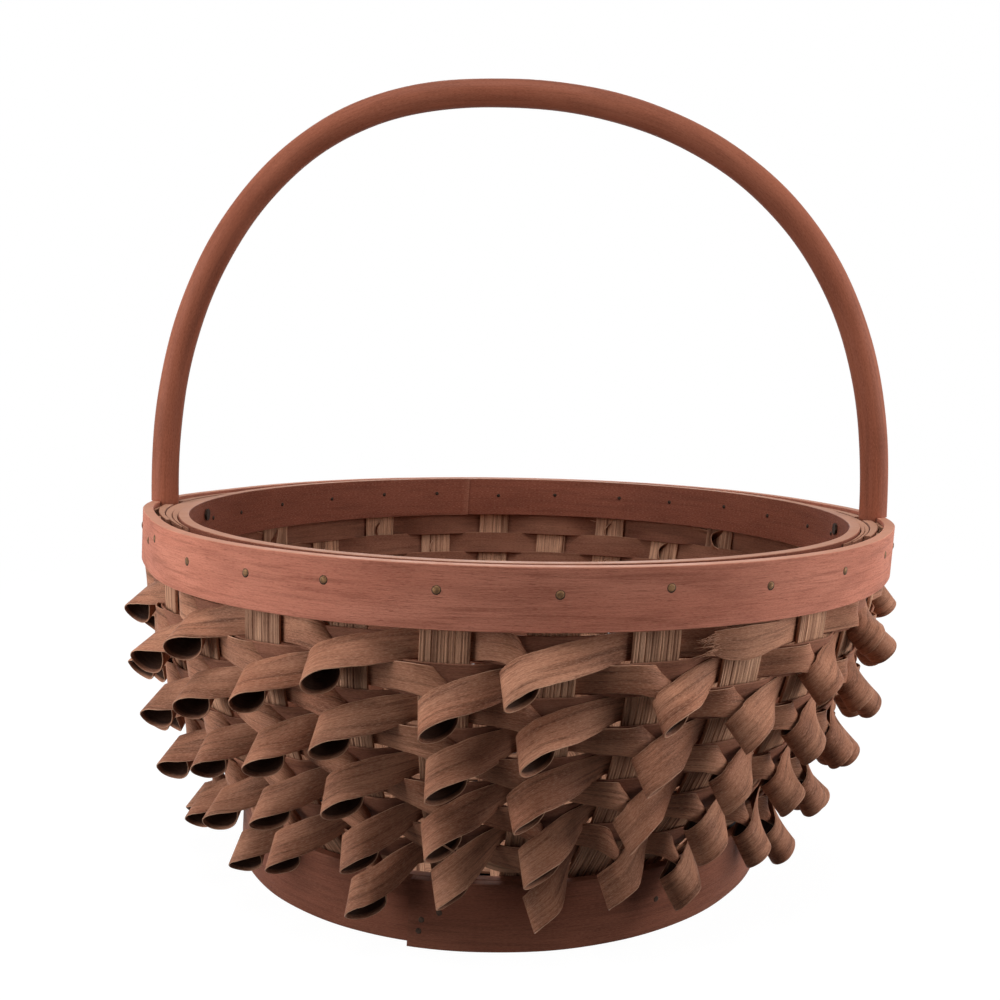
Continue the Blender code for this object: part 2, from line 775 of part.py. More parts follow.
def build_nails(material):
    """Handle nails, driven from inside through inner hoop, filler, tongue and outer hoop."""
    cutters = []
    for name, number, azimuth, height in nail_places():
        inside = inner_hoop_inside(azimuth)
        outside = rim_outside(azimuth)
        head = inside - GAP - NAIL_HEAD_THICKNESS
        rings = [(head, NAIL_HEAD / 2), (inside - GAP, NAIL_HEAD / 2), (inside - GAP / 2, NAIL_SHANK / 2),
                 (outside, NAIL_SHANK / 2)]
        round_bar("handle_nail_%s_%d" % (name, number), azimuth, height, rings, material)
        hole = NAIL_SHANK / 2 + GAP
        cutter = round_bar("hole_%s_%d" % (name, number), azimuth, height,
                           [(inside - OVERRUN, hole), (outside + OVERRUN, hole)], material)
        cutters.append(make_cutter(cutter))
    return cutters


def build_stakes(material):
    for turn, name, over_sign in ((STAKE_TURN, "along", 1), (STAKE_TURN + HALF_TURN / 2, "across", -1)):
        for number in range(STRIP_COUNT_EACH_WAY):
            offset = number - STRIP_COUNT_EACH_WAY // 2
            stake_strip("stake_strip_%s_%d" % (name, number + 1), offset, turn, over_sign, material)


def build_weave(woods):
    for number in range(1, ROW_COUNT + 1):
        depth = FIRST_ROW + (number - 1) * ROW_PITCH
        start = LAP_STAKE_NUMBERS[number - 1] + 1 + 2 * number
        plain_weaver("weaver_row_%d" % number, depth, WEAVER_WIDTH, WEAVER_THICKNESS,
                     CURL_THICKNESS + GAP, start, woods["weaver"])
        curled_weaver("curled_weaver_row_%d" % number, number, woods["curl"])
    last = FIRST_ROW + (ROW_COUNT - 1) * ROW_PITCH
    depth = last + WEAVER_WIDTH / 2 + LOCKING_GAP + LOCKING_WIDTH / 2
    plain_weaver("locking_weaver", depth, LOCKING_WIDTH, LOCKING_THICKNESS, 0, ROW_COUNT, woods["splint"])


def settle_body():
    """Give the pieces the body's hand-made set, and stand the basket's box over the origin."""
    meshes = {thing.data for thing in bpy.data.objects}
    for mesh in meshes:
        for vertex in mesh.vertices:
            vertex.co = settled(vertex.co)
    shown = [thing for thing in bpy.data.objects if not thing.hide_render]
    corners = [vertex.co for thing in shown for vertex in thing.data.vertices]
    middle_x = (min(c.x for c in corners) + max(c.x for c in corners)) / 2
    middle_y = (min(c.y for c in corners) + max(c.y for c in corners)) / 2
    for mesh in meshes:
        mesh.transform(Matrix.Translation((-middle_x, -middle_y, 0)))


def main():
    clear_scene()
    woods = {
        "band": make_material("stained_bentwood", shader_colour(158, 96, 76), 0.6),
        "handle": make_material("stained_dowel", shader_colour(146, 84, 62), 0.5),
        "filler": make_material("cut_bentwood", shader_colour(176, 124, 98), 0.7),
        "splint": make_material("pale_splint", shader_colour(168, 128, 98), 0.75),
        "weaver": make_material("stained_chipwood", shader_colour(122, 80, 64), 0.7),
        "curl": make_material("curled_chipwood", shader_colour(132, 88, 68), 0.65),
        "nail": make_material("dull_steel", shader_colour(92, 86, 76), 0.5, 0.8),
    }
    hole_cutters = build_nails(woods["nail"])
    build_handle(woods["handle"], hole_cutters)
    build_rim(woods, hole_cutters)
    foot_hoop(woods["band"])
    build_stakes(woods["splint"])
    build_weave(woods)
    settle_body()


main()
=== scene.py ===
"""Looks of a round chipwood foraging basket with a bow handle and rows of curled weavers.

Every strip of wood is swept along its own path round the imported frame: hoops, fillers, handle, ribbed
stakes, plain weavers and curled weavers. The grain runs along each strip, because every strip carries the
distance along and across it in its "grain" attribute.
"""

import math

import bpy
import numpy as np
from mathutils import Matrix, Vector


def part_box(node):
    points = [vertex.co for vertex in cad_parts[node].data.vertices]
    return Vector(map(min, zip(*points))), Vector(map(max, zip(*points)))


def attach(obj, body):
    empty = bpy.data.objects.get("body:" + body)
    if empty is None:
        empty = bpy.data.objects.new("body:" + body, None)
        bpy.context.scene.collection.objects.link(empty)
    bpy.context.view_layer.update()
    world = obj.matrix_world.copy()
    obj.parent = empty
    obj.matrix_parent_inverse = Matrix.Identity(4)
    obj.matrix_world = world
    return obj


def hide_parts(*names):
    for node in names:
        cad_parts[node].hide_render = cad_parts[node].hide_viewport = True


MM = 0.001
BODY = "root"
UP = np.array([0.0, 0.0, 1.0])
GAP = 0.3 * MM
LAP_GAP = GAP / 2
SMOOTH_ANGLE = 40
EDGE_EASE = 0.25 * MM
CUT_END_WEAR = 0.2

# Rim: two hoops that clamp the stakes and the handle. Turns are in degrees from the front to the right
RIM_TOP = 136 * MM
RIM_RADIUS = 147.3 * MM
RIM_BAND_HEIGHT = 19.4 * MM
RIM_BAND_THICKNESS = 4.0 * MM
RIM_BOTTOM = RIM_TOP - RIM_BAND_HEIGHT
RIM_BULGE_LEFT = 6.8 * MM
RIM_BULGE_RIGHT = 3.4 * MM
RIM_BULGE_SPREAD = 26
INNER_HOOP_SQUEEZE = 5.2 * MM
OUTER_SCARF_START = 150
INNER_SCARF_START = 190
SCARF_SPREAD = 18
SCARF_TIP = 0.6 * MM
HOOP_STEPS = 240
HOOP_COLUMNS = 14
HOOP_WOBBLE = 0.15 * MM
HOOP_WAVES = (70 * MM, 43 * MM, 160 * MM)
OUTER_HOOP_SEED = 1
INNER_HOOP_SEED = 2

# Strips that fill the room between the hoops beside each leg of the handle
FILLER_SPREAD = 34
FILLER_TIP = 0.8 * MM
FILLER_LIFT = 2.0 * MM
FILLER_DROP = 1.0 * MM
FILLER_STEP_DOWN = 0.3 * MM
FILLER_STARTS_LATER = 4
FILLER_ENDS_SOONER = 3
FILLER_STEPS = 60
SHIM_SPREAD = 23
SHIM_STEPS = 24

# Handle
HANDLE_TURN = -2.6
HANDLE_DIAMETER = 11.1 * MM
HANDLE_OVERHANG = 1.2 * MM
HANDLE_RISE = 173.4 * MM
HANDLE_FULLNESS = 2.25
HANDLE_SKEW = 10.8 * MM
HANDLE_SKEW_POWER = 5
HANDLE_STEPS = 140
HANDLE_SIDES = 32
TONGUE_STEPS = 16
TONGUE_END = 0.5 * MM

# Foot hoop, lapped over its own start at the front
FOOT_INNER_RADIUS = 104.2 * MM
FOOT_HEIGHT = 23.6 * MM
FOOT_THICKNESS = 3.4 * MM
FOOT_LAP_START = -16
FOOT_LAP = 28
FOOT_LAP_RAMP = 85
FOOT_HIDDEN_START = 2.8

# Stakes: the ends of long strips that cross in a woven base
STAKES = 28
STAKE_PITCH = 360 / STAKES
STAKE_TURN = 3.8
STAKE_WIDTH = 15.4 * MM
STAKE_THICKNESS = 1.3 * MM
STAKE_END_DROP = 0.6 * MM
STAKE_COLUMNS = 61
STAKE_STEP = 1.3 * MM
STRIPS_EACH_WAY = 7
BASE_HEIGHT = 7.0 * MM
BASE_RADIUS = FOOT_INNER_RADIUS - 12.8 * MM
BASE_MARGIN = 2.0 * MM
BASE_STEPS = 80
CLAMP_STEPS = 6
WALL_STEPS = 70
RIB_DEPTH = 0.3 * MM
RIB_WAVES = ((6.1, 0, 0.5), (9.7, 1, 0.3), (3.3, 2, 0.3))

# Wall, and how the rim sits aside of the foot and low at the right
WALL_POWER = 1.95
WALL_SAMPLES = 500
BULGE_DEPTH = 20.9 * MM
RIM_ASIDE = 8.4 * MM
RIM_TILT = 0.018

# Weavers, row by row from the rim down
ROWS = 9
FIRST_ROW = 5.4 * MM
ROW_PITCH = 10.35 * MM
WEAVER_WIDTH = 10.9 * MM
WEAVER_THICKNESS = 0.8 * MM
WEAVER_COLUMNS = 9
CROSSING_START = 0.22
CROSSING_SHARE = 0.56
WEAVER_CROWN = 0.35 * MM
WEAVER_STRAY = 0.2 * MM
FIRST_ROW_FRONT_GAP = 1.8 * MM
LOCKING_DROP = 8.2 * MM
LOCKING_WIDTH = 4.6 * MM
LOCKING_THICKNESS = 1.0 * MM
CURL_THICKNESS = 0.5 * MM
CURL_STATIONS = 9
CURL_STEP = 0.9 * MM
CURL_FIRST_TURN = 70
CURL_LAST_TURN = 374
HANG_LEAN_SHARE = 0.35
HANG_PIVOT = 7.0 * MM
TUCK_WIDTH = 9.2 * MM
TUCK_RUN = 4.0 * MM
TUCK_CLEARANCE = 0.5 * MM
LAP_RUN = 10 * MM
LAP_STAKES = (2, 13, 16, 11, 14, 17, 12, 15, 10)

# Loose wood: the fibres at the first row's lap end, and one splinter
FRAYED_END = 15 * MM
FIBRES = 44
FIBRE_WIDTH = 0.35 * MM
FIBRE_LIFT = 1.2 * MM
SLIVER_STEP = 3 * MM
SLIVER_WEAR = 0.4
SPLINTER_ROW = 6
SPLINTER_STAKE = -1
SPLINTER_WIDTH = 1.3 * MM

# Curls that hang apart from the others at the front, by row and stake: millimetres to the left and down
CURL_SHIFTS = {
    (1, 0): (9.5, 1.5), (1, -2): (5, 0.5),
    (2, -1): (0, 1.5), (2, 1): (-3, 1.5),
    (3, 0): (3.5, 0), (3, -4): (-3.5, -2),
    (4, -1): (-2, 0), (4, -3): (-5, -1), (4, 1): (-1.5, 0),
    (5, 0): (4.5, 0), (5, -2): (-0.5, -2), (5, -4): (-5, -2),
    (6, -3): (-1, 0),
    (7, -2): (-1.5, 0), (7, 0): (0.5, 0.5),
    (8, -1): (-1.5, 1), (8, -3): (2, 0), (8, 1): (-2, 2),
    (9, -2): (0, 1), (9, 0): (-5, 0.5),
}

# Nails: turn in degrees, then millimetres below the rim's top or above the floor
RIM_NAILS = [(-63, 5.5), (-49, 8.5), (-36, 8), (-24, 7), (-10, 7.5), (4, 8), (17, 6.5), (31, 8), (46, 7)]
BACK_NAIL_TURNS = np.arange(62, 290, 13.4)
BACK_NAIL_DROP = 7.5
FOOT_NAILS = [(-14, 6), (-13.6, 10), (-10.5, 13), (29, 12)]
NAIL_HEAD = 2.5 * MM
NAIL_DOME = 0.16
# A dark disc behind each rim nail's head: painted shade of the dent round the nail
DENT_SHADE_SIZE = 3.1 * MM
DENT_SHADE_DOME = 0.05
DENT_SHADE_DROP = 0.1 * MM
NAIL_TIP = 1.9 * MM
NAIL_TIP_DOME = 0.3
NAIL_TIP_DROP = 0.6 * MM
NAIL_TIP_ASIDE = 0.6
FOOT_NAIL_HEAD = 2.1 * MM
NAIL_SIDES = 14
NAIL_RINGS = 5
NAIL_SINK = 0.05 * MM

# Colours of the woods out of 255: as stained, in dark streaks, in lighter places, and worn
STAINS = {
    "stained_bentwood": ((192, 119, 98), (124, 68, 54), (202, 130, 108), (188, 134, 110)),
    # Inner hoop: the outer hoop's stained bentwood made darker, as painted shade for the inside of the rim
    "stained_bentwood_with_painted_shade": ((126, 72, 57), (82, 44, 35), (136, 80, 64), (180, 130, 106)),
    "stained_bentwood_dark": ((128, 78, 62), (78, 45, 36), (142, 90, 72), (152, 104, 84)),
    "stained_dowel": ((147, 86, 66), (96, 54, 41), (159, 97, 76), (170, 110, 88)),
    "cut_bentwood": ((156, 106, 86), (90, 56, 44), (170, 120, 98), (182, 134, 110)),
    "stained_chipwood": ((130, 84, 67), (74, 44, 35), (150, 102, 82), (164, 118, 96)),
    "curled_chipwood": ((156, 103, 80), (76, 45, 34), (184, 130, 103), (206, 160, 132)),
    "pale_splint": ((208, 156, 126), (92, 57, 44), (222, 173, 142), (166, 120, 95)),
}
# Colour of the painted shade inside the curls, laid on a curled strip's inner face where it rolls round
INSIDE_CURL_PAINTED_SHADE = (26, 13, 10)
DULL_BRASS = (0.16, 0.085, 0.04, 1)
DARK_STEEL = (0.045, 0.026, 0.018, 1)
TARNISH = (0.02, 0.012, 0.008, 1)
MATTE_SHINE = 0.07

# Camera, measured from the middle of the rim
LENS = 40.03
SENSOR = 36
CAMERA_ASIDE = -7.6 * MM
CAMERA_BACK = 462 * MM
CAMERA_HEIGHT = 189.2 * MM
CAMERA_PITCH = 0.110
CAMERA_SHIFT = 0.003

# Lamps: name, turn and elevation in degrees, distance and size in metres, power in watts
LAMPS = (("left lamp", -66, 12, 0.6, 0.45, 2.7), ("right lamp", 73, 12, 0.6, 0.45, 2.9),
         ("top lamp", -15, 70, 1.0, 0.5, 5.5), ("back lamp", 178, 28, 0.9, 0.5, 3.2))
LAMP_TARGET = Vector((0, 0, 0.1))
BLACK = (0, 0, 0, 1)
WHITE = (1, 1, 1, 1)
STUDIO_LEVEL = (0.03, 0.03, 0.03, 1)
FLOOR_TONE = (0.1, 0.1, 0.1, 1)
FLOOR_LIFT = (0.955, 0.955, 0.955, 1)
FLOOR_NEAR = 0.2
FLOOR_FAR = 0.9
FLOOR_CORNERS = [(-6, -6, 0), (6, -6, 0), (6, 12, 0), (-6, 12, 0)]

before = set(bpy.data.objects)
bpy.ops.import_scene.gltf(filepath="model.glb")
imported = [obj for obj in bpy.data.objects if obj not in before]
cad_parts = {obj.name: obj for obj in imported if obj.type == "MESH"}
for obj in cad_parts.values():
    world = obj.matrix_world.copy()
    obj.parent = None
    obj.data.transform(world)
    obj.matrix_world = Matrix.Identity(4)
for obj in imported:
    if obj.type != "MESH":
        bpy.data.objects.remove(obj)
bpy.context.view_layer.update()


def colour(red, green, blue):
    """Linear colour from what the eye sees, out of 255."""
    return tuple((part / 255) ** 2.2 for part in (red, green, blue)) + (1.0,)


class Value:
    """A shader socket that takes part in sums."""

    def __init__(self, tree, socket):
        self.tree = tree
        self.socket = socket

    def calculate(self, operation, first, second):
        return self.tree.node("ShaderNodeMath", {"operation": operation}, {0: first, 1: second})

    def __add__(self, other):
        return self.calculate("ADD", self, other)

    def __sub__(self, other):
        return self.calculate("SUBTRACT", self, other)

    def __rsub__(self, other):
        return self.calculate("SUBTRACT", other, self)

    def __mul__(self, other):
        return self.calculate("MULTIPLY", self, other)

    __radd__ = __add__
    __rmul__ = __mul__


class Nodes:
    """A node tree that is built node by node."""

    def __init__(self, tree):
        self.nodes = tree.nodes
        self.links = tree.links

    def feed(self, socket, value):
        if isinstance(value, Value):
            self.links.new(value.socket, socket)
        else:
            socket.default_value = value

    def node(self, kind, settings, inputs, output=0):
        made = self.nodes.new(kind)
        for name, value in settings.items():
            setattr(made, name, value)
        for name, value in inputs.items():
            self.feed(made.inputs[name], value)
        return Value(self, made.outputs[output])

    def attribute(self, name, output="Fac"):
        return self.node("ShaderNodeAttribute", {"attribute_name": name}, {}, output)

    def place(self):
        return self.node("ShaderNodeTexCoord", {}, {}, "Object")

    def stretched(self, along, across):
        """The grain attribute in cells per metre along and across, for noise that runs along the wood."""
        scales = {0: self.attribute("grain", "Vector"), 1: (along, across, 1)}
        return self.node("ShaderNodeVectorMath", {"operation": "MULTIPLY"}, scales)

    def noise(self, vector, detail, roughness=0.55, distortion=0.0, scale=1.0):
        inputs = {"Vector": vector, "Scale": scale, "Detail": detail, "Roughness": roughness,
                  "Distortion": distortion}
        return self.node("ShaderNodeTexNoise", {}, inputs)

    def ramp(self, value, low, high, low_value=0.0, high_value=1.0):
        inputs = {"Value": value, "From Min": low, "From Max": high, "To Min": low_value,
                  "To Max": high_value}
        return self.node("ShaderNodeMapRange", {"clamp": True}, inputs)

    def mix(self, share, first, second):
        """A colour between two others."""
        return self.node("ShaderNodeMix", {"data_type": "RGBA"}, {"Factor": share, 6: first, 7: second}, 2)

    def overlay(self, tone, shade, noise, low, high, share):
        """A tone with a shade over it, more and more as the noise goes from low to high."""
        return self.mix(self.ramp(noise, low, high) * share, tone, shade)

    def bump(self, height, strength, distance):
        inputs = {"Height": height, "Strength": strength, "Distance": distance}
        return self.node("ShaderNodeBump", {}, inputs)


class Finish(Nodes):
    """A material with a Principled shader."""

    def __init__(self, name, **shader_values):
        self.material = bpy.data.materials.new(name)
        self.material.use_nodes = True
        super().__init__(self.material.node_tree)
        self.shader = self.nodes["Principled BSDF"]
        self.set(**shader_values)

    def set(self, **sockets):
        for name, value in sockets.items():
            self.feed(self.shader.inputs[name.replace("_", " ")], value)


def wood(name, roughness, streak, pore, wear, line_width=0.5 * MM, line_length=12 * MM, relief=0.2 * MM):
    """Stained wood: fine lines along the grain, short pores, slow changes of tone, pale worn edges and
    painted shade inside the curls.
    """
    base, dark, light, worn = (colour(*shade) for shade in STAINS[name])
    finish = Finish(name, Specular_IOR_Level=MATTE_SHINE)
    slow = finish.noise(finish.stretched(16, 60), 2.0)
    uneven = finish.noise(finish.stretched(31, 110), 2.0)
    broad = finish.noise(finish.stretched(0.3 / line_length, 0.25 / line_width), 3.0, 0.6, 0.4)
    lines = finish.noise(finish.stretched(1 / line_length, 1 / line_width), 4.0, 0.65)
    fibres = finish.noise(finish.stretched(700, 4200), 3.0, 0.7)
    pores = finish.ramp(finish.noise(finish.stretched(220, 2600), 2.0), 0.6, 0.72)
    tone = finish.mix(finish.ramp(slow, 0.35, 0.65), base, light)
    tone = finish.overlay(tone, dark, uneven, 0.45, 0.75, streak * 0.7)
    tone = finish.overlay(tone, dark, broad, 0.5, 0.75, streak)
    tone = finish.overlay(tone, dark, lines, 0.5, 0.8, streak)
    tone = finish.mix(pores * pore, tone, dark)
    tone = finish.overlay(tone, worn, fibres, 0.5, 0.75, 0.55)
    tone = finish.overlay(tone, dark, fibres, 0.5, 0.25, 0.5)
    tone = finish.mix(finish.attribute("wear") * wear, tone, worn)
    # Painted shade: the inner face of a curled strip turns nearly black inside each curl
    tone = finish.mix(finish.attribute("painted_curl_shade") * 0.9, tone, colour(*INSIDE_CURL_PAINTED_SHADE))
    height = lines * 0.8 + broad * 0.4 + fibres * 0.35 - pores * 0.5
    finish.set(Base_Color=tone)
    finish.set(Roughness=finish.ramp(lines, 0.3, 0.7, roughness - 0.08, roughness + 0.08))
    finish.set(Normal=finish.bump(height, 0.6, relief))
    return finish.material


def metal(name, tone, roughness):
    """Dull metal with dark tarnished spots."""
    finish = Finish(name, Metallic=0.9)
    spots = finish.noise(finish.place(), 3.0, scale=900.0)
    finish.set(Base_Color=finish.overlay(tone, TARNISH, spots, 0.4, 0.7, 0.6))
    finish.set(Roughness=finish.ramp(spots, 0.3, 0.7, roughness, roughness + 0.25))
    return finish.material


def build_finishes():
    return {
        "band": wood("stained_bentwood", roughness=0.6, streak=0.6, pore=0.6, wear=0.8),
        # The inner hoop's colours are darkened as painted shade for the inside of the rim
        "inner_band": wood("stained_bentwood_with_painted_shade", roughness=0.6, streak=0.4, pore=0.4, wear=0.8),
        "foot": wood("stained_bentwood_dark", roughness=0.6, streak=0.5, pore=0.4, wear=0.5),
        "handle": wood("stained_dowel", roughness=0.5, streak=0.45, pore=0.4, wear=0.5,
                       line_width=0.8 * MM, line_length=20 * MM, relief=0.02 * MM),
        "filler": wood("cut_bentwood", roughness=0.7, streak=0.5, pore=0.4, wear=0.8),
        "chip": wood("stained_chipwood", roughness=0.65, streak=0.5, pore=0.3, wear=0.6),
        "curl": wood("curled_chipwood", roughness=0.55, streak=0.8, pore=0.4, wear=0.8),
        "splint": wood("pale_splint", roughness=0.7, streak=1.2, pore=0.3, wear=0.5,
                       line_length=60 * MM, relief=0.4 * MM),
        "brass": metal("dull_brass", DULL_BRASS, roughness=0.5),
        "steel": metal("dark_steel", DARK_STEEL, roughness=0.6),
    }


def compass(turn):
    """Outward unit vectors at turns in degrees, counted from the front towards the right."""
    angle = np.radians(np.asarray(turn, float))
    return np.stack([np.sin(angle), -np.cos(angle), 0 * angle], -1)


def sideways(turn):
    """Level unit vectors at turns in degrees, towards higher turns."""
    angle = np.radians(np.asarray(turn, float))
    return np.stack([np.cos(angle), np.sin(angle), 0 * angle], -1)


def unit(vectors):
    return vectors / np.linalg.norm(vectors, axis=-1, keepdims=True)


def smooth_step(value):
    value = np.clip(value, 0, 1)
    return value * value * (3 - 2 * value)


def running_length(points):
    """Distance along a line of points, from its start."""
    return np.concatenate([[0], np.cumsum(np.linalg.norm(np.diff(points, axis=0), axis=1))])


def smoothed(vectors, weights):
    """A line of vectors averaged along its length with a window of weights."""
    window = np.array(weights) / sum(weights)
    margin = len(weights) // 2
    first, last = np.repeat(vectors[:1], margin, 0), np.repeat(vectors[-1:], margin, 0)
    padded = np.concatenate([first, vectors, last])
    return np.stack([np.convolve(padded[:, axis], window, "valid") for axis in range(3)], -1)


def wander(seed, values, size, lengths):
    """A slow deterministic wobble over an array of lengths: a few sines with phases from the seed."""
    draw = np.random.default_rng(seed)
    total = 0 * values
    for length in lengths:
        total = total + np.sin(values * (2 * np.pi / length) + draw.uniform(0, 2 * np.pi)) / len(lengths)
    return total * size


def leaned(points):
    """Points moved by the hand-made set of the body: its rim sits aside of the foot, low at the right."""
    points = np.array(points, float)
    share = np.minimum(points[..., 2] / RIM_TOP, 1)
    above = np.maximum(points[..., 2] - RIM_TOP, 0)
    x = points[..., 0].copy()
    points[..., 0] += RIM_ASIDE * share + RIM_TILT * above
    points[..., 2] -= RIM_TILT * x * share
    return points


def find_body_shift():
    """How far aside of the frame's middle the foot stands, from the left edge of its outer hoop."""
    turn = np.arange(0, 360, 6.0) + OUTER_SCARF_START
    outline = compass(turn) * rim_outside(turn)[:, None]
    edges = [leaned(outline + UP * height)[:, 0].min() for height in (RIM_BOTTOM, RIM_TOP)]
    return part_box("rim_hoop_outer")[0].x - min(edges)


def handle_offset(turn):
    """Degrees from the nearer leg of the handle."""
    return (np.asarray(turn, float) - HANDLE_TURN) % 180 - 90


def rim_swell(turn):
    """How far the handle's legs push the rim outwards."""
    share = np.minimum(np.abs(handle_offset(turn)) / RIM_BULGE_SPREAD, 1)
    right = (np.asarray(turn, float) - HANDLE_TURN) % 360 < 180
    return np.where(right, RIM_BULGE_RIGHT, RIM_BULGE_LEFT) * np.cos(share * np.pi / 2) ** 2


def rim_outside(turn):
    return RIM_RADIUS + rim_swell(turn)


def chord_hollow(radius):
    """How deep a flat stake's middle lies behind a round hoop of this radius."""
    return radius - math.sqrt(radius ** 2 - (STAKE_WIDTH / 2) ** 2)


def inner_hoop_outside(turn):
    long_half = RIM_RADIUS - RIM_BAND_THICKNESS - chord_hollow(RIM_RADIUS) - STAKE_THICKNESS - 2 * GAP
    short_half = long_half - INNER_HOOP_SQUEEZE
    angle = np.radians(handle_offset(turn))
    return 1 / np.hypot(np.cos(angle) / short_half, np.sin(angle) / long_half)


def hoop_wobble(seed, turn):
    """How far a hoop strays from its true round, at turns in degrees."""
    return wander(seed, np.radians(turn) * RIM_RADIUS, HOOP_WOBBLE, HOOP_WAVES)


def leg_radius(side):
    """Distance of a handle leg's centre line from the basket's middle: right leg 1, left leg -1."""
    return float(rim_outside(side * 90 + HANDLE_TURN)) + HANDLE_OVERHANG - HANDLE_DIAMETER / 2


def wall_curve():
    """Depth down the wall, radius, height and lean, from the rim band's edge to the foot."""
    top = RIM_RADIUS - RIM_BAND_THICKNESS - GAP - STAKE_THICKNESS / 2
    foot = FOOT_INNER_RADIUS - chord_hollow(FOOT_INNER_RADIUS) - 2 * GAP - STAKE_THICKNESS / 2
    share = np.linspace(0, 1, WALL_SAMPLES)
    radius = top - (top - foot) * share ** WALL_POWER
    height = RIM_BOTTOM - (RIM_BOTTOM - FOOT_HEIGHT) * share
    lean = np.arctan2(-np.gradient(radius), -np.gradient(height))
    return running_length(np.column_stack([radius, height])), radius, height, lean


BODY_SHIFT = find_body_shift()
WALL_DEPTH, WALL_RADIUS, WALL_HEIGHT, WALL_LEAN = wall_curve()


class Row:
    """The wall at one depth, or at an array of depths."""

    def __init__(self, depth, lean_share=1.0, pivot=0.0):
        whole = np.interp(depth, WALL_DEPTH, WALL_LEAN)
        self.lean = whole * lean_share
        self.radius = np.interp(depth, WALL_DEPTH, WALL_RADIUS) + pivot * np.sin(whole - self.lean)
        self.height = np.interp(depth, WALL_DEPTH, WALL_HEIGHT)
        self.swell_share = np.clip(1 - depth / BULGE_DEPTH, 0, 1)

    def axes(self, turn):
        """Unit vectors along the row, out of the wall and up it."""
        slope = self.lean + np.arctan(rim_swell(turn) / BULGE_DEPTH) * (self.swell_share > 0)
        slope = np.broadcast_to(slope, np.shape(turn))[..., None]
        outward = compass(turn)
        out = outward * np.cos(slope) - UP * np.sin(slope)
        up = outward * np.sin(slope) + UP * np.cos(slope)
        return sideways(turn), out, up

    def turn(self, start, along):
        return start + np.degrees(along / self.radius)

    def points(self, turn, out, up):
        radius = self.radius + rim_swell(turn) * self.swell_share
        radius = np.broadcast_to(radius, np.shape(turn))[..., None]
        height = np.broadcast_to(self.height, np.shape(turn))[..., None]
        _, out_way, up_way = self.axes(turn)
        wall = compass(turn) * radius + UP * height
        return wall + out_way * np.asarray(out)[..., None] + up_way * np.asarray(up)[..., None]


def stake_turn(index):
    return STAKE_TURN + index * STAKE_PITCH


def strip_ring(columns, width, thickness, ribs=None):
    """Section of a strip as shares of its width and thickness, with eased edges and shallow ribs."""
    ease = min(0.3 * thickness, EDGE_EASE)
    spread = np.linspace(-0.5 + ease / width, 0.5 - ease / width, columns)
    face = np.full(columns, 0.5)
    if ribs is not None:
        face = 0.5 - ribs(spread * width) / thickness
    side = 0.5 - ease / thickness
    top = np.stack([spread, face], -1)
    right = np.array([[0.5, side], [0.5, -side]])
    return np.concatenate([top, right, -top, -right])


def round_ring(sides):
    """A circle one unit across, as shares of a diameter."""
    angle = 2 * np.pi * np.arange(sides) / sides
    return np.stack([np.cos(angle), np.sin(angle)], -1) / 2


def tube_faces(rows, sides):
    """Faces between closed rings of points, and one over each end: the first, then the last."""
    faces = []
    for row in range(rows - 1):
        below, above = row * sides, (row + 1) * sides
        for side in range(sides):
            following = (side + 1) % sides
            faces.append((below + side, below + following, above + following, above + side))
    faces.append(tuple(reversed(range(sides))))
    faces.append(tuple(range((rows - 1) * sides, rows * sides)))
    return faces


def make_piece(name, points, faces, material, grain, wear):
    """A mesh piece that rides on the basket, with its grain and wear attributes."""
    mesh = bpy.data.meshes.new(name)
    settled = leaned(points) + np.array([BODY_SHIFT, 0, 0])
    mesh.from_pydata(settled.tolist(), [], faces)
    direction = mesh.attributes.new("grain", "FLOAT_VECTOR", "POINT")
    direction.data.foreach_set("vector", np.asarray(grain, np.float32).ravel())
    worn = mesh.attributes.new("wear", "FLOAT", "POINT")
    worn.data.foreach_set("value", np.asarray(wear, np.float32).ravel())
    mesh.materials.append(material)
    mesh.shade_smooth()
    mesh.set_sharp_from_angle(angle=math.radians(SMOOTH_ANGLE))
    piece = bpy.data.objects.new(name, mesh)
    bpy.context.collection.objects.link(piece)
    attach(piece, BODY)
    return piece


def sweep(name, centre, across, outward, ring, material, seed):
    """A strip through sections: across is as long as its width, and outward as its thickness."""
    count, size = len(centre), len(ring)
    points = centre[:, None] + across[:, None] * ring[None, :, :1] + outward[:, None] * ring[None, :, 1:]
    along = np.repeat(running_length(centre)[:, None], size, 1)
    aside = np.linalg.norm(across, axis=1)[:, None] * ring[None, :, 0]
    grain = np.stack([along, aside, np.full((count, size), seed)], -1)
    edge = (np.abs(ring[:, 0]) > 0.499).astype(float)
    wear = np.repeat(edge[None], count, 0)
    wear[0] = wear[-1] = CUT_END_WEAR
    return make_piece(name, points.reshape(-1, 3), tube_faces(count, size), material, grain, wear)


def hoop(name, node, inside, outside, start, spread, low, high, material, seed, steps=HOOP_STEPS):
    """A strip of wood standing on its edge round the basket, between two radii and two heights."""
    turn = np.linspace(start, start + spread, steps)
    inner, outer = inside(turn), outside(turn)
    outward = compass(turn)
    centre = outward * ((inner + outer) / 2 + hoop_wobble(seed, turn))[:, None] + UP * ((low + high) / 2)
    across = np.repeat(UP[None] * (high - low), steps, 0)
    ring = strip_ring(HOOP_COLUMNS, high - low, RIM_BAND_THICKNESS)
    piece = sweep(name, centre, across, outward * (outer - inner)[:, None], ring, material, seed)
    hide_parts(node)


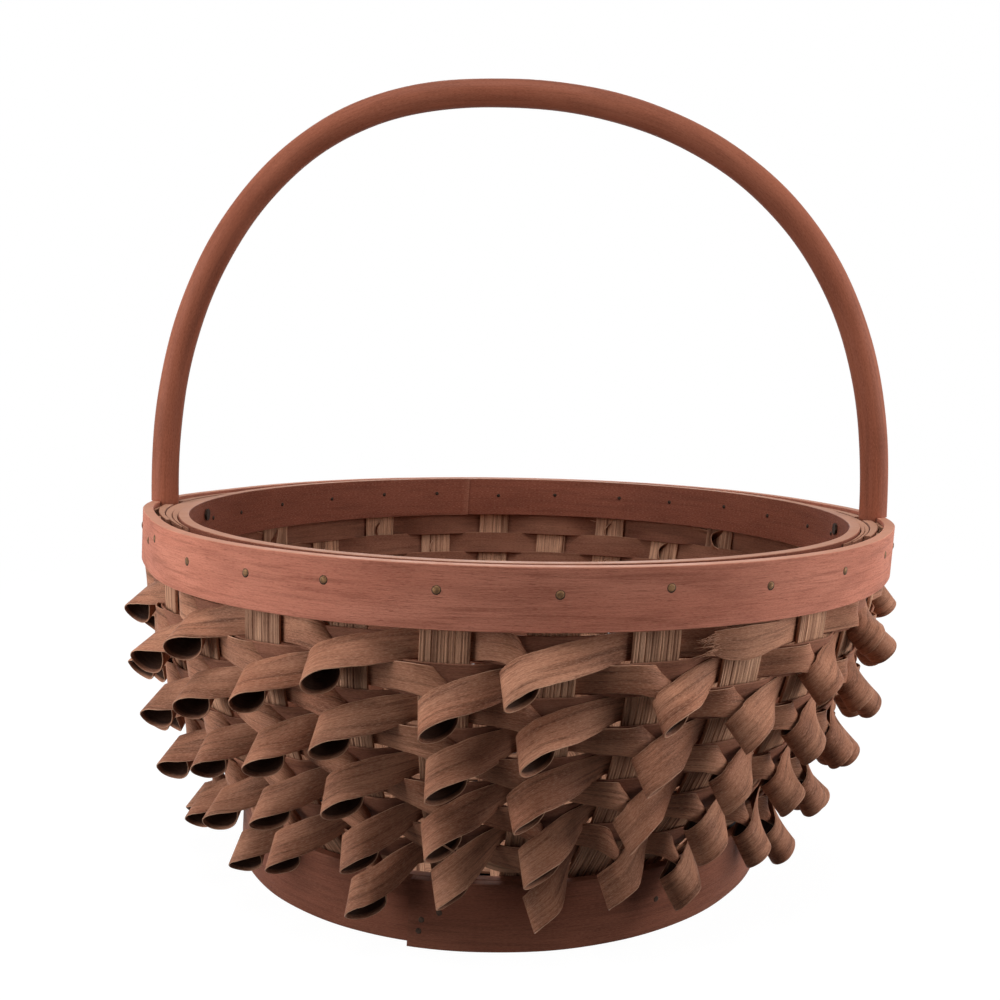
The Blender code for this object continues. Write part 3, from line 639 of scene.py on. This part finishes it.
def build_rim_hoop(name, node, outside, start, material, seed):
    """A rim hoop with tapered ends, which lie over each other from its start on."""
    def inside(turn):
        return outside(turn) - RIM_BAND_THICKNESS

    def lap_face(turn):
        share = np.clip((turn - start) / SCARF_SPREAD, 0, 1)
        low, high = inside(turn) + SCARF_TIP, outside(turn) - SCARF_TIP
        return low + (high - low) * share

    def strip_outside(turn):
        return np.where(turn < start + SCARF_SPREAD, lap_face(turn) - LAP_GAP / 2, outside(turn))

    def strip_inside(turn):
        return np.where(turn > start + 360, lap_face(turn - 360) + LAP_GAP / 2, inside(turn))

    hoop(name, node, strip_inside, strip_outside, start, 360 + SCARF_SPREAD, RIM_BOTTOM, RIM_TOP, material,
         seed)


def build_fillers(side, name, material):
    """Two tapered strips between the hoops at one leg of the handle, and shims before and behind it."""
    leg = side * 90 + HANDLE_TURN
    low, high = RIM_BOTTOM + FILLER_LIFT, RIM_TOP - FILLER_DROP

    def inside(turn):
        return inner_hoop_outside(turn) + GAP

    deepest = leg_radius(side) - HANDLE_DIAMETER / 2 - GAP - float(inside(leg))

    def outside(turn):
        share = np.minimum(np.abs(handle_offset(turn)) / FILLER_SPREAD, 1)
        return inside(turn) + FILLER_TIP + (deepest - FILLER_TIP) * np.cos(share * np.pi / 2) ** 2

    def inner_face(turn):
        return (inside(turn) + outside(turn)) / 2 - LAP_GAP / 2

    def outer_face(turn):
        return (inside(turn) + outside(turn)) / 2 + LAP_GAP / 2

    node = "rim_filler_" + name
    start, spread = leg - FILLER_SPREAD, 2 * FILLER_SPREAD
    hoop("inner_filler_" + name, node, inside, inner_face, start, spread, low, high, material,
         11 + side, FILLER_STEPS)
    hoop("outer_filler_" + name, node, outer_face, outside, start + FILLER_STARTS_LATER,
         spread - FILLER_STARTS_LATER - FILLER_ENDS_SOONER, low, high - FILLER_STEP_DOWN, material,
         14 + side, FILLER_STEPS)

    def shim_inside(turn):
        return outside(turn) + GAP

    def shim_outside(turn):
        return rim_outside(turn) - RIM_BAND_THICKNESS - STAKE_THICKNESS - 3 * GAP

    first = math.degrees((HANDLE_DIAMETER / 2 + 2 * GAP) / leg_radius(side))
    for place, way in (("front", -side), ("back", side)):
        hoop("shim_%s_%s" % (name, place), "rim_shim_%s_%s" % (name, place), shim_inside, shim_outside,
             leg + way * first, way * (SHIM_SPREAD - first), low, high, material, 17 + way,
             SHIM_STEPS)


def foot_inside(turn):
    """The foot hoop's inner radius: it climbs onto its own start at the lap."""
    climbed = FOOT_LAP_START + FOOT_LAP - 360 + FOOT_LAP_RAMP
    share = np.clip((climbed - turn) / FOOT_LAP_RAMP, 0, 1)
    return FOOT_INNER_RADIUS + (FOOT_THICKNESS + LAP_GAP) * smooth_step(share)


def foot_outside(turn):
    return foot_inside(turn) + FOOT_THICKNESS


def build_foot(material):
    start = FOOT_LAP_START + FOOT_LAP - FOOT_HIDDEN_START
    hoop("foot_ring", "foot_hoop", foot_inside, foot_outside, start, FOOT_LAP_START - 360 - start, 0,
         FOOT_HEIGHT, material, 3)


def handle_path():
    """The bow's centre line, as distances to the right and heights: a tongue, the arch, and a tongue."""
    left, right = leg_radius(-1), leg_radius(1)
    angle = np.pi * (1 - np.linspace(0, 1, HANDLE_STEPS))
    across = np.abs(np.cos(angle)) ** (2 / HANDLE_FULLNESS) * np.where(np.cos(angle) > 0, right, -left)
    rise = np.abs(np.sin(angle)) ** (2 / HANDLE_FULLNESS)
    across = across - HANDLE_SKEW * rise ** HANDLE_SKEW_POWER
    height = RIM_TOP + (HANDLE_RISE - HANDLE_DIAMETER / 2) * rise
    tongue = np.linspace(RIM_BOTTOM + FILLER_LIFT, RIM_TOP - TONGUE_END, TONGUE_STEPS)
    across = np.concatenate([np.full(TONGUE_STEPS, -left), across, np.full(TONGUE_STEPS, right)])
    height = np.concatenate([tongue, height, tongue[::-1]])
    return across, height


def build_handle(material):
    """The bow: a dowel swept along a rounded arch, its tongues flattened behind the outer hoop."""
    outward, front = compass(90 + HANDLE_TURN), -sideways(90 + HANDLE_TURN)
    across, height = handle_path()
    centre = outward * across[:, None] + UP * height[:, None]
    normal = np.cross(unit(np.gradient(centre, axis=0)), front)
    length = running_length(centre)
    girth = HANDLE_DIAMETER * (1 + wander(5, length, 0.012, (90 * MM, 37 * MM)))[:, None, None]
    centre = centre + front * wander(6, length, 0.5 * MM, (210 * MM, 120 * MM))[:, None]
    ring = round_ring(HANDLE_SIDES)
    points = centre[:, None] + (normal[:, None] * ring[None, :, :1] + front * ring[None, :, 1:]) * girth
    cut = HANDLE_OVERHANG + RIM_BAND_THICKNESS + 2 * GAP - HANDLE_DIAMETER / 2
    reach = points @ outward
    clamped = np.clip(reach, cut - leg_radius(-1), leg_radius(1) - cut)
    in_rim = (points[..., 2] < RIM_TOP)[..., None]
    points = points + np.where(in_rim, (clamped - reach)[..., None] * outward, 0)
    points = points.reshape(-1, 3)
    around = np.arange(HANDLE_SIDES) * math.pi * HANDLE_DIAMETER / HANDLE_SIDES
    grain = np.column_stack([np.repeat(length, HANDLE_SIDES), np.tile(around, len(length)),
                             np.full(len(points), 7.0)])
    faces = tube_faces(len(length), HANDLE_SIDES)
    piece = make_piece("bow_handle", points, faces, material, grain, np.zeros(len(points)))
    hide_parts("handle_bow")


def stake_on_wall(turn):
    """A stake's middle line, width directions and facings, from between the hoops down to the base."""
    depth = np.linspace(0, WALL_DEPTH[-1], WALL_STEPS)
    top = rim_outside(turn) - RIM_BAND_THICKNESS - GAP - STAKE_THICKNESS / 2
    heights = np.linspace(RIM_TOP - STAKE_END_DROP, RIM_BOTTOM, CLAMP_STEPS)[:-1, None]
    clamped = compass(turn) * top + UP * heights
    turns = np.full(len(depth), turn)
    row = Row(depth)
    centre = np.concatenate([clamped, row.points(turns, 0 * depth, 0 * depth)])
    facing = np.concatenate([np.repeat(compass(turn)[None], len(clamped), 0), row.axes(turns)[1]])
    return centre, np.repeat(sideways(turn)[None], len(centre), 0), facing


def stake_on_base(offset, turn, over_sign):
    """The same for the stretch across the base, over and under the strips that cross it."""
    forward, aside = compass(turn), sideways(turn)
    side = BASE_RADIUS * math.sin(math.radians(offset * STAKE_PITCH))
    reach = BASE_RADIUS * math.cos(math.radians(offset * STAKE_PITCH)) - BASE_MARGIN
    way = np.linspace(reach, -reach, BASE_STEPS)
    phase = np.arcsin(np.clip(way / BASE_RADIUS, -1, 1)) / math.radians(STAKE_PITCH)
    lift = over_sign * np.cos(np.pi * (phase + offset)) * (STAKE_THICKNESS + GAP) / 2
    centre = forward * way[:, None] + aside * side + UP * (BASE_HEIGHT - lift)[:, None]
    return centre, np.repeat(aside[None], BASE_STEPS, 0), np.repeat(-UP[None], BASE_STEPS, 0)


def strip_path(offset, turn, over_sign):
    """One long splint, from one rim over the base to the other, at even steps and with rounded bends."""
    down = stake_on_wall(turn + offset * STAKE_PITCH)
    base = stake_on_base(offset, turn, over_sign)
    rise = [part[::-1] for part in stake_on_wall(turn + 180 - offset * STAKE_PITCH)]
    rise[1] = -rise[1]
    lines = [np.concatenate(parts) for parts in zip(down, base, rise)]
    length = running_length(lines[0])
    places = np.linspace(0, length[-1], int(length[-1] / STAKE_STEP))
    rounded = []
    for line in lines:
        even = np.stack([np.interp(places, length, line[:, axis]) for axis in range(3)], -1)
        rounded.append(smoothed(even, (1, 2, 3, 4, 5, 4, 3, 2, 1)))
    centre, across, facing = rounded
    across = unit(across)
    facing = unit(facing - across * np.sum(facing * across, -1, keepdims=True))
    return centre, across, facing


def rib_grooves(place):
    """Depth of the fine grooves that a split stake has along it, at places across it."""
    fine = sum(np.sin(place / MM * pitch + phase) * size for pitch, phase, size in RIB_WAVES)
    return np.clip(fine, 0, 1) * RIB_DEPTH


def build_stakes(material):
    ring = strip_ring(STAKE_COLUMNS, STAKE_WIDTH, STAKE_THICKNESS, rib_grooves)
    for turn, name, over_sign, seed in ((STAKE_TURN, "along", 1, 20), (STAKE_TURN + 90, "across", -1, 40)):
        for number in range(STRIPS_EACH_WAY):
            centre, across, facing = strip_path(number - STRIPS_EACH_WAY // 2, turn, over_sign)
            piece = sweep("splint_%s_%d" % (name, number + 1), centre, across * STAKE_WIDTH,
                          facing * STAKE_THICKNESS, ring, material, seed + number)
            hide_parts("stake_strip_%s_%d" % (name, number + 1))


def build_plain_weaver(name, node, depth, width, thickness, inside_room, first_outside, seed, material,
                       front_gap=0):
    """A splint that goes over one stake and behind the next, right round, narrower in front by a gap."""
    row = Row(depth)
    outside = STAKE_THICKNESS / 2 + LAP_GAP + thickness / 2
    inside = -outside - inside_room
    turn = np.arange(0, 360.01, 0.5) + stake_turn(first_outside + 1)
    phase = (turn - STAKE_TURN) / STAKE_PITCH - first_outside
    distance = np.abs((phase + 1) % 2 - 1)
    share = smooth_step((distance - CROSSING_START) / CROSSING_SHARE)
    out = outside + (inside - outside) * share + WEAVER_CROWN * np.cos(np.pi * distance)
    gap = front_gap * smooth_step(np.cos(np.radians(turn)))
    up = wander(seed, turn, WEAVER_STRAY, (37.0, 61.0)) - gap / 2
    centre = row.points(turn, out, up)
    _, out_way, up_way = row.axes(turn)
    across = unit(up_way + out_way * wander(seed + 1, turn, 0.06, (23.0, 41.0))[:, None])
    facing = unit(np.cross(across, unit(np.gradient(centre, axis=0))))
    wide = (width * (1 + wander(seed + 2, turn, 0.02, (9.0, 17.0))) - gap)[:, None]
    ring = strip_ring(WEAVER_COLUMNS, width, thickness)
    piece = sweep(name, centre, across * wide, -facing * thickness, ring, material, seed)
    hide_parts(node)


def smooth_curve(stations, places, step):
    """A smooth curve of rows of numbers through stations, without overshoot at short spans."""
    lengths = np.linalg.norm(np.diff(places, axis=0), axis=1)
    knots = np.sqrt(lengths)[:, None]
    slopes = np.diff(stations, axis=0) / knots
    middle = (slopes[1:] * knots[:-1] + slopes[:-1] * knots[1:]) / (knots[1:] + knots[:-1])
    tangents = np.concatenate([slopes[:1], middle, slopes[-1:]])
    rows = []
    for number, length in enumerate(lengths):
        count = max(2, round(length / step))
        share = (np.arange(count) / count)[:, None]
        first, second = stations[number], stations[number + 1]
        out, into = tangents[number] * knots[number], tangents[number + 1] * knots[number]
        ends = first * (1 + 2 * share) * (1 - share) ** 2 + second * share ** 2 * (3 - 2 * share)
        rows.append(ends + out * share * (1 - share) ** 2 + into * share ** 2 * (share - 1))
    return np.concatenate(rows + [stations[-1:]])


def flat_station(along, out, up=0.0, width=TUCK_WIDTH):
    """A station where the curled splint is upright: place, width direction, width, share of painted curl
    shade.
    """
    return (along, out, up, 0, 0, -1, width, 0)


class Curl:
    """How one curl is rolled and hung: sizes in metres, angles in degrees."""

    def __init__(self, draw, turn, number, shift):
        swing = math.sin(math.radians(turn))
        rightward, leftward = max(swing, 0), max(-swing, 0)
        self.half_span = (5.7 + draw.normal() * 0.3) * MM
        self.half_depth = (4.9 + draw.normal() * 0.25) * MM
        self.tightening = 0.27
        self.aside = (-0.6 + 0.4 * swing + shift[0] + draw.normal() * 0.6) * MM
        spring = rightward * (number - 6.5) * 0.9 + leftward * (number - 5.2) * 0.75
        self.out = (6.8 + spring + draw.normal() * 0.3) * MM
        lifted = 0.7 * leftward * max(number - 5, 0)
        lowered = 0.08 * (number - 1) ** 2 - swing - lifted + shift[1]
        self.drop = (6.8 + lowered + draw.normal() * 0.4) * MM
        self.sag = 3.2 * MM
        self.climb = (9.0 + draw.normal() * 0.4) * MM
        self.dip = 42 + draw.normal() * 3
        self.slant = 14 + (number - 1) * (1 - abs(swing)) * 1.3 + draw.normal() * 2.5
        self.flare = 0.10 + draw.normal() * 0.03
        self.width = (11.9 + draw.normal() * 0.3) * MM
        self.tail_share = 0.58
        self.tail_out = 3.6 * MM
        self.tail_rise = 0.8 * MM

    def roll(self):
        """Stations round the curl, which tightens and climbs to the wall along its slanting axis."""
        dip, slant = math.radians(self.dip), math.radians(self.slant)
        level = np.array([1.0, 0, 0])
        cone = np.array([0, math.cos(dip), -math.sin(dip)])
        axis = cone * math.cos(slant) + level * math.sin(slant)
        side = level * math.cos(slant) - cone * math.sin(slant)
        crown = np.array([0, math.sin(dip), math.cos(dip)])
        middle = np.array([-self.aside, self.out, -self.drop])
        rows = []
        for turn in np.linspace(CURL_FIRST_TURN, CURL_LAST_TURN, CURL_STATIONS):
            share = (turn - CURL_FIRST_TURN) / 360
            east, front = math.cos(math.radians(turn)), math.sin(math.radians(turn))
            spoke = side * east * self.half_span + crown * front * self.half_depth
            climb = self.climb * share ** 2 - 4 * self.sag * share * (1 - share)
            place = middle + spoke * (1 - self.tightening * share ** 2) - axis * climb
            width_way = unit(axis + (side * east + crown * front) * self.flare)
            # The last value, 1, puts painted shade on the inner face all round the curl
            rows.append((*place, *width_way, self.width, 1))
        return rows

    def stations(self, reach, tuck):
        """Rows of place, width direction, width and share of painted curl shade, from the right stake to
        the left.
        """
        roll = self.roll()
        tail = -reach + (reach + roll[-1][0]) * self.tail_share
        return [flat_station(reach + TUCK_RUN, tuck), flat_station(reach, tuck), *roll,
                flat_station(tail, self.tail_out, self.tail_rise), flat_station(-reach, tuck),
                flat_station(-reach - TUCK_RUN, tuck)]


def curled_stations(number, row):
    """Rows of turn, hanging share and station, from the splint's start round to the lap over it."""
    draw = np.random.default_rng(100 + number)
    lap_stake = LAP_STAKES[number - 1]
    reach = math.radians(STAKE_PITCH) * float(row.radius) - STAKE_WIDTH / 2 - TUCK_CLEARANCE
    tuck = -(STAKE_THICKNESS / 2 + LAP_GAP + CURL_THICKNESS / 2)
    below = STAKE_THICKNESS / 2 + WEAVER_THICKNESS + CURL_THICKNESS / 2 + GAP
    above = below + CURL_THICKNESS + LAP_GAP
    rows = []

    def add(stake, stations, hangs):
        for station in stations:
            rows.append((stake_turn(stake), float(hangs and station[1] > 0), *station))

    add(lap_stake, [flat_station(LAP_RUN, below), flat_station(0, below), flat_station(-LAP_RUN, below),
                    flat_station(-reach, tuck)], False)
    for step in range(1, STAKES // 2):
        stake = lap_stake - 2 * step
        curl = Curl(draw, stake_turn(stake), number, CURL_SHIFTS.get((number, stake), (0, 0)))
        add(stake, curl.stations(reach, tuck), True)
    if number == 1:
        end = [flat_station(0, above + 1.4 * MM, -0.6 * MM, 11.0 * MM),
               flat_station(-9 * MM, above + 1.6 * MM, -0.4 * MM, 10.0 * MM),
               flat_station(-FRAYED_END, above + 1.0 * MM, 0.4 * MM, 7.5 * MM)]
    else:
        end = [flat_station(0, above), flat_station(-LAP_RUN, above)]
    add(lap_stake - STAKES, [flat_station(reach, tuck), flat_station(LAP_RUN, above), *end], False)
    return np.array(rows)


def build_curled_weaver(number, material):
    """The curled splint of one row: leftwards round the basket, with a curl over every second stake."""
    depth = FIRST_ROW + (number - 1) * ROW_PITCH
    row, hanging = Row(depth), Row(depth, HANG_LEAN_SHARE, HANG_PIVOT)
    rows = curled_stations(number, row)
    along, out_and_up = rows[:, 2], rows[:, 3:5]
    places = np.column_stack([along + np.radians(rows[:, 0]) * row.radius, out_and_up])
    turn = rows[:, 0] + np.degrees(along / row.radius)
    curve = smooth_curve(np.column_stack([turn, rows[:, 1], rows[:, 3:]]), places, CURL_STEP)
    turn, free, out, up = curve[:, 0], np.clip(curve[:, 1:2], 0, 1), curve[:, 2], curve[:, 3]
    way_along, way_out, way_up, width, painted_curl_shade = (curve[:, column:column + 1] for column in (4, 5, 6, 7, 8))

    def width_directions(wall):
        along_axis, out_axis, up_axis = wall.axes(turn)
        return along_axis * way_along + out_axis * way_out + up_axis * way_up

    centre = row.points(turn, out, up) * (1 - free) + hanging.points(turn, out, up) * free
    across = unit(width_directions(row) * (1 - free) + width_directions(hanging) * free)
    facing = np.cross(unit(np.gradient(centre, axis=0)), across)
    facing = unit(smoothed(facing, (1, 2, 3, 2, 1)))
    wide = width * (1 + wander(number, np.arange(len(curve)) * 1.0, 0.02, (9.0, 31.0)))[:, None]
    ring = strip_ring(WEAVER_COLUMNS, TUCK_WIDTH, CURL_THICKNESS)
    piece = sweep("curled_strip_%d" % number, centre, across * wide, facing * CURL_THICKNESS, ring,
                  material, 60 + number)
    # Painted shade on the strip's inner face inside each curl, as much as the curve's painted-shade share
    inner_face = (ring[:, 1] < -0.3) & (np.abs(ring[:, 0]) < 0.45)
    dark = piece.data.attributes.new("painted_curl_shade", "FLOAT", "POINT")
    dark.data.foreach_set("value", (np.clip(painted_curl_shade, 0, 1) * inner_face).astype(np.float32).ravel())
    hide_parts("curled_weaver_row_%d" % number)


def build_slivers(name, lines, width, material):
    """Thin tapered slivers of wood, each along its own line of points, as one piece."""
    points, grain, faces = [], [], []
    for number, line in enumerate(lines):
        way = unit(np.gradient(line, axis=0))
        half = width / 2 * np.linspace(1, 0.2, len(line))[:, None]
        side = unit(np.cross(way, UP))
        aside, above = side * half, np.cross(side, way) * half
        for face in tube_faces(len(line), 4):
            faces.append(tuple(len(points) + corner for corner in reversed(face)))
        corners = np.stack([line - aside, line + above, line + aside, line - above], 1)
        points += corners.reshape(-1, 3).tolist()
        for row in range(len(line)):
            grain += [(row * SLIVER_STEP, corner * width, 200 + number) for corner in range(4)]
    make_piece(name, points, faces, material, grain, np.full(len(points), SLIVER_WEAR))


def build_frayed_end(material):
    """Loose fibres at the first row's lap end."""
    row, draw = Row(FIRST_ROW), np.random.default_rng(12)
    start = STAKE_THICKNESS / 2 + WEAVER_THICKNESS + 2 * CURL_THICKNESS + GAP + FIBRE_LIFT
    share = np.linspace(0, 1, 5)
    lines = []
    for _ in range(FIBRES):
        along = -FRAYED_END + draw.uniform(0, 5) * MM
        up = draw.uniform(-3.6, 3.8) * MM
        length = draw.uniform(3, 7) * MM
        lift = draw.uniform(-0.6, 0.6) * MM
        bend = draw.uniform(-2.2, 0.8) * MM
        turns = row.turn(stake_turn(LAP_STAKES[0]), along - share * length)
        lines.append(row.points(turns, start + share * lift, up + share ** 2 * bend))
    build_slivers("frayed_lap_end", lines, FIBRE_WIDTH, material)


def build_splinter(material):
    """A splinter that hangs from one of the curls."""
    row = Row(FIRST_ROW + (SPLINTER_ROW - 1) * ROW_PITCH, HANG_LEAN_SHARE, HANG_PIVOT)
    share = np.linspace(0, 1, 5)
    turns = row.turn(stake_turn(SPLINTER_STAKE), (share * 10.5 - 3) * MM)
    line = row.points(turns, (9 + share * 1.5) * MM, (-9.5 - share * 5.5) * MM)
    build_slivers("splinter", [line], SPLINTER_WIDTH, material)


def build_weave(chip, curl, splint):
    for number in range(1, ROWS + 1):
        depth = FIRST_ROW + (number - 1) * ROW_PITCH
        front_gap = FIRST_ROW_FRONT_GAP if number == 1 else 0
        first_outside = LAP_STAKES[number - 1] % 2
        build_plain_weaver("plain_strip_%d" % number, "weaver_row_%d" % number, depth, WEAVER_WIDTH,
                           WEAVER_THICKNESS, CURL_THICKNESS + GAP, first_outside, 80 + number, chip,
                           front_gap)
        build_curled_weaver(number, curl)
    build_frayed_end(curl)
    build_splinter(curl)
    depth = FIRST_ROW + (ROWS - 1) * ROW_PITCH + LOCKING_DROP
    build_plain_weaver("locking_strip", "locking_weaver", depth, LOCKING_WIDTH, LOCKING_THICKNESS, 0, 0,
                       99, splint)


def nail(name, turn, radius, height, head, material, dome=NAIL_DOME, inside=False):
    """A domed nail head on the face of a hoop: rings of points that close in one at its crown."""
    outward = compass(turn) * (-1 if inside else 1)
    foot = compass(turn) * radius + UP * height - outward * NAIL_SINK
    tilt = np.linspace(0, math.pi / 2, NAIL_RINGS)[:, None, None]
    ring = round_ring(NAIL_SIDES)
    flat = sideways(turn) * ring[:, :1] + UP * ring[:, 1:]
    points = foot + outward * np.sin(tilt) * head * dome + flat * np.cos(tilt) * head
    points = points.reshape(-1, 3)
    faces = tube_faces(NAIL_RINGS, NAIL_SIDES)[:-1]
    grain, wear = np.zeros((len(points), 3)), np.zeros(len(points))
    make_piece(name, points, faces, material, grain, wear)


def hoop_stray(seed, start, turn):
    """The wobble of a hoop at any turn, as its strip has it from its start on."""
    return float(hoop_wobble(seed, (turn - start) % 360 + start))


def build_nails(brass, steel):
    """Small nail heads round the rim, with their tips showing inside, and four on the foot."""
    draw = np.random.default_rng(4)
    back_turns = BACK_NAIL_TURNS + draw.uniform(-1, 1, len(BACK_NAIL_TURNS))
    back = [(turn, BACK_NAIL_DROP + draw.uniform(-1, 1)) for turn in back_turns]
    for number, (turn, drop) in enumerate(RIM_NAILS + back, 1):
        height = RIM_TOP - drop * MM
        outer = float(rim_outside(turn)) + hoop_stray(OUTER_HOOP_SEED, OUTER_SCARF_START, turn)
        inner = float(inner_hoop_outside(turn)) - RIM_BAND_THICKNESS
        inner += hoop_stray(INNER_HOOP_SEED, INNER_SCARF_START, turn)
        nail("rim_nail_%d" % number, turn, outer, height, NAIL_HEAD, brass)
        # A dark steel disc round the head: painted shade of the dent round the nail
        nail("rim_nail_dent_%d" % number, turn, outer, height - DENT_SHADE_DROP, DENT_SHADE_SIZE, steel,
             DENT_SHADE_DOME)
        nail("rim_nail_tip_%d" % number, turn + NAIL_TIP_ASIDE, inner, height - NAIL_TIP_DROP, NAIL_TIP,
             steel, NAIL_TIP_DOME, inside=True)
    for number, (turn, height) in enumerate(FOOT_NAILS, 1):
        face = float(foot_outside(turn - 360))
        nail("foot_nail_%d" % number, turn, face, height * MM, FOOT_NAIL_HEAD, steel)
    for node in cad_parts:
        if node.startswith("handle_nail"):
            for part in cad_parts[node].material_slots:
                part.material = steel


def seen_by_camera(nodes):
    """1 for what the camera sees, directly, mirrored or through glass, and 0 for light on its way."""
    rays = ("Is Camera Ray", "Is Glossy Ray", "Is Transmission Ray")
    seen = [nodes.node("ShaderNodeLightPath", {}, {}, name) for name in rays]
    settings = {"operation": "ADD", "use_clamp": True}
    return nodes.node("ShaderNodeMath", settings, {0: seen[0] + seen[1], 1: seen[2]})


def build_stage():
    """A pale floor, lifted to white for the camera only, which keeps the basket's soft shadow; inside the
    foot it is left dark as painted shade.
    """
    finish = Finish("pale_floor", Roughness=0.9, Specular_IOR_Level=0.0, Emission_Strength=1.0)
    distance = finish.node("ShaderNodeVectorMath", {"operation": "LENGTH"}, {0: finish.place()}, "Value")
    far = finish.ramp(distance, FLOOR_NEAR, FLOOR_FAR)
    # Inside the foot ring the floor gets no lift and stays dark: painted shade under the basket
    clear_of_foot = finish.ramp(distance, FOOT_INNER_RADIUS, FOOT_INNER_RADIUS + FOOT_THICKNESS)
    lift = finish.mix(clear_of_foot, BLACK, finish.mix(far, FLOOR_LIFT, WHITE))
    finish.set(Base_Color=finish.mix(far, FLOOR_TONE, BLACK))
    finish.set(Emission_Color=finish.mix(seen_by_camera(finish), BLACK, lift))
    mesh = bpy.data.meshes.new("floor")
    mesh.from_pydata(FLOOR_CORNERS, [], [(0, 1, 2, 3)])
    mesh.materials.append(finish.material)
    floor = bpy.data.objects.new("floor", mesh)
    floor.location.x = BODY_SHIFT
    bpy.context.collection.objects.link(floor)


def build_world():
    world = bpy.context.scene.world or bpy.data.worlds.new("studio")
    bpy.context.scene.world = world
    world.use_nodes = True
    studio = Nodes(world.node_tree)
    sky = studio.mix(seen_by_camera(studio), STUDIO_LEVEL, WHITE)
    studio.feed(studio.nodes["Background"].inputs["Color"], sky)


def build_lamps():
    for name, turn, elevation, distance, size, power in LAMPS:
        lamp = bpy.data.lights.new(name, "AREA")
        lamp.size = size
        lamp.energy = power
        light = bpy.data.objects.new(name, lamp)
        rise = math.radians(elevation)
        way = Vector(compass(turn) * math.cos(rise) + UP * math.sin(rise))
        light.location = way * distance + LAMP_TARGET
        light.rotation_euler = (-way).to_track_quat("-Z", "Y").to_euler()
        light.visible_camera = False
        bpy.context.collection.objects.link(light)


def build_camera():
    camera = bpy.data.objects.new("camera", bpy.data.cameras.new("camera"))
    camera.data.lens = LENS
    camera.data.sensor_width = SENSOR
    camera.data.shift_y = CAMERA_SHIFT
    camera.location = (BODY_SHIFT + RIM_ASIDE + CAMERA_ASIDE, -CAMERA_BACK, CAMERA_HEIGHT)
    camera.rotation_euler = (math.pi / 2 - CAMERA_PITCH, 0, 0)
    bpy.context.collection.objects.link(camera)
    bpy.context.scene.camera = camera


def main():
    finishes = build_finishes()
    build_rim_hoop("outer_rim_hoop", "rim_hoop_outer", rim_outside, OUTER_SCARF_START, finishes["band"],
                   OUTER_HOOP_SEED)
    build_rim_hoop("inner_rim_hoop", "rim_hoop_inner", inner_hoop_outside, INNER_SCARF_START,
                   finishes["inner_band"], INNER_HOOP_SEED)
    build_fillers(-1, "left", finishes["filler"])
    build_fillers(1, "right", finishes["filler"])
    build_foot(finishes["foot"])
    build_handle(finishes["handle"])
    build_stakes(finishes["splint"])
    build_weave(finishes["chip"], finishes["curl"], finishes["splint"])
    build_nails(finishes["brass"], finishes["steel"])
    build_stage()
    build_world()
    build_lamps()
    build_camera()
    bpy.context.scene.view_settings.view_transform = "Standard"


main()
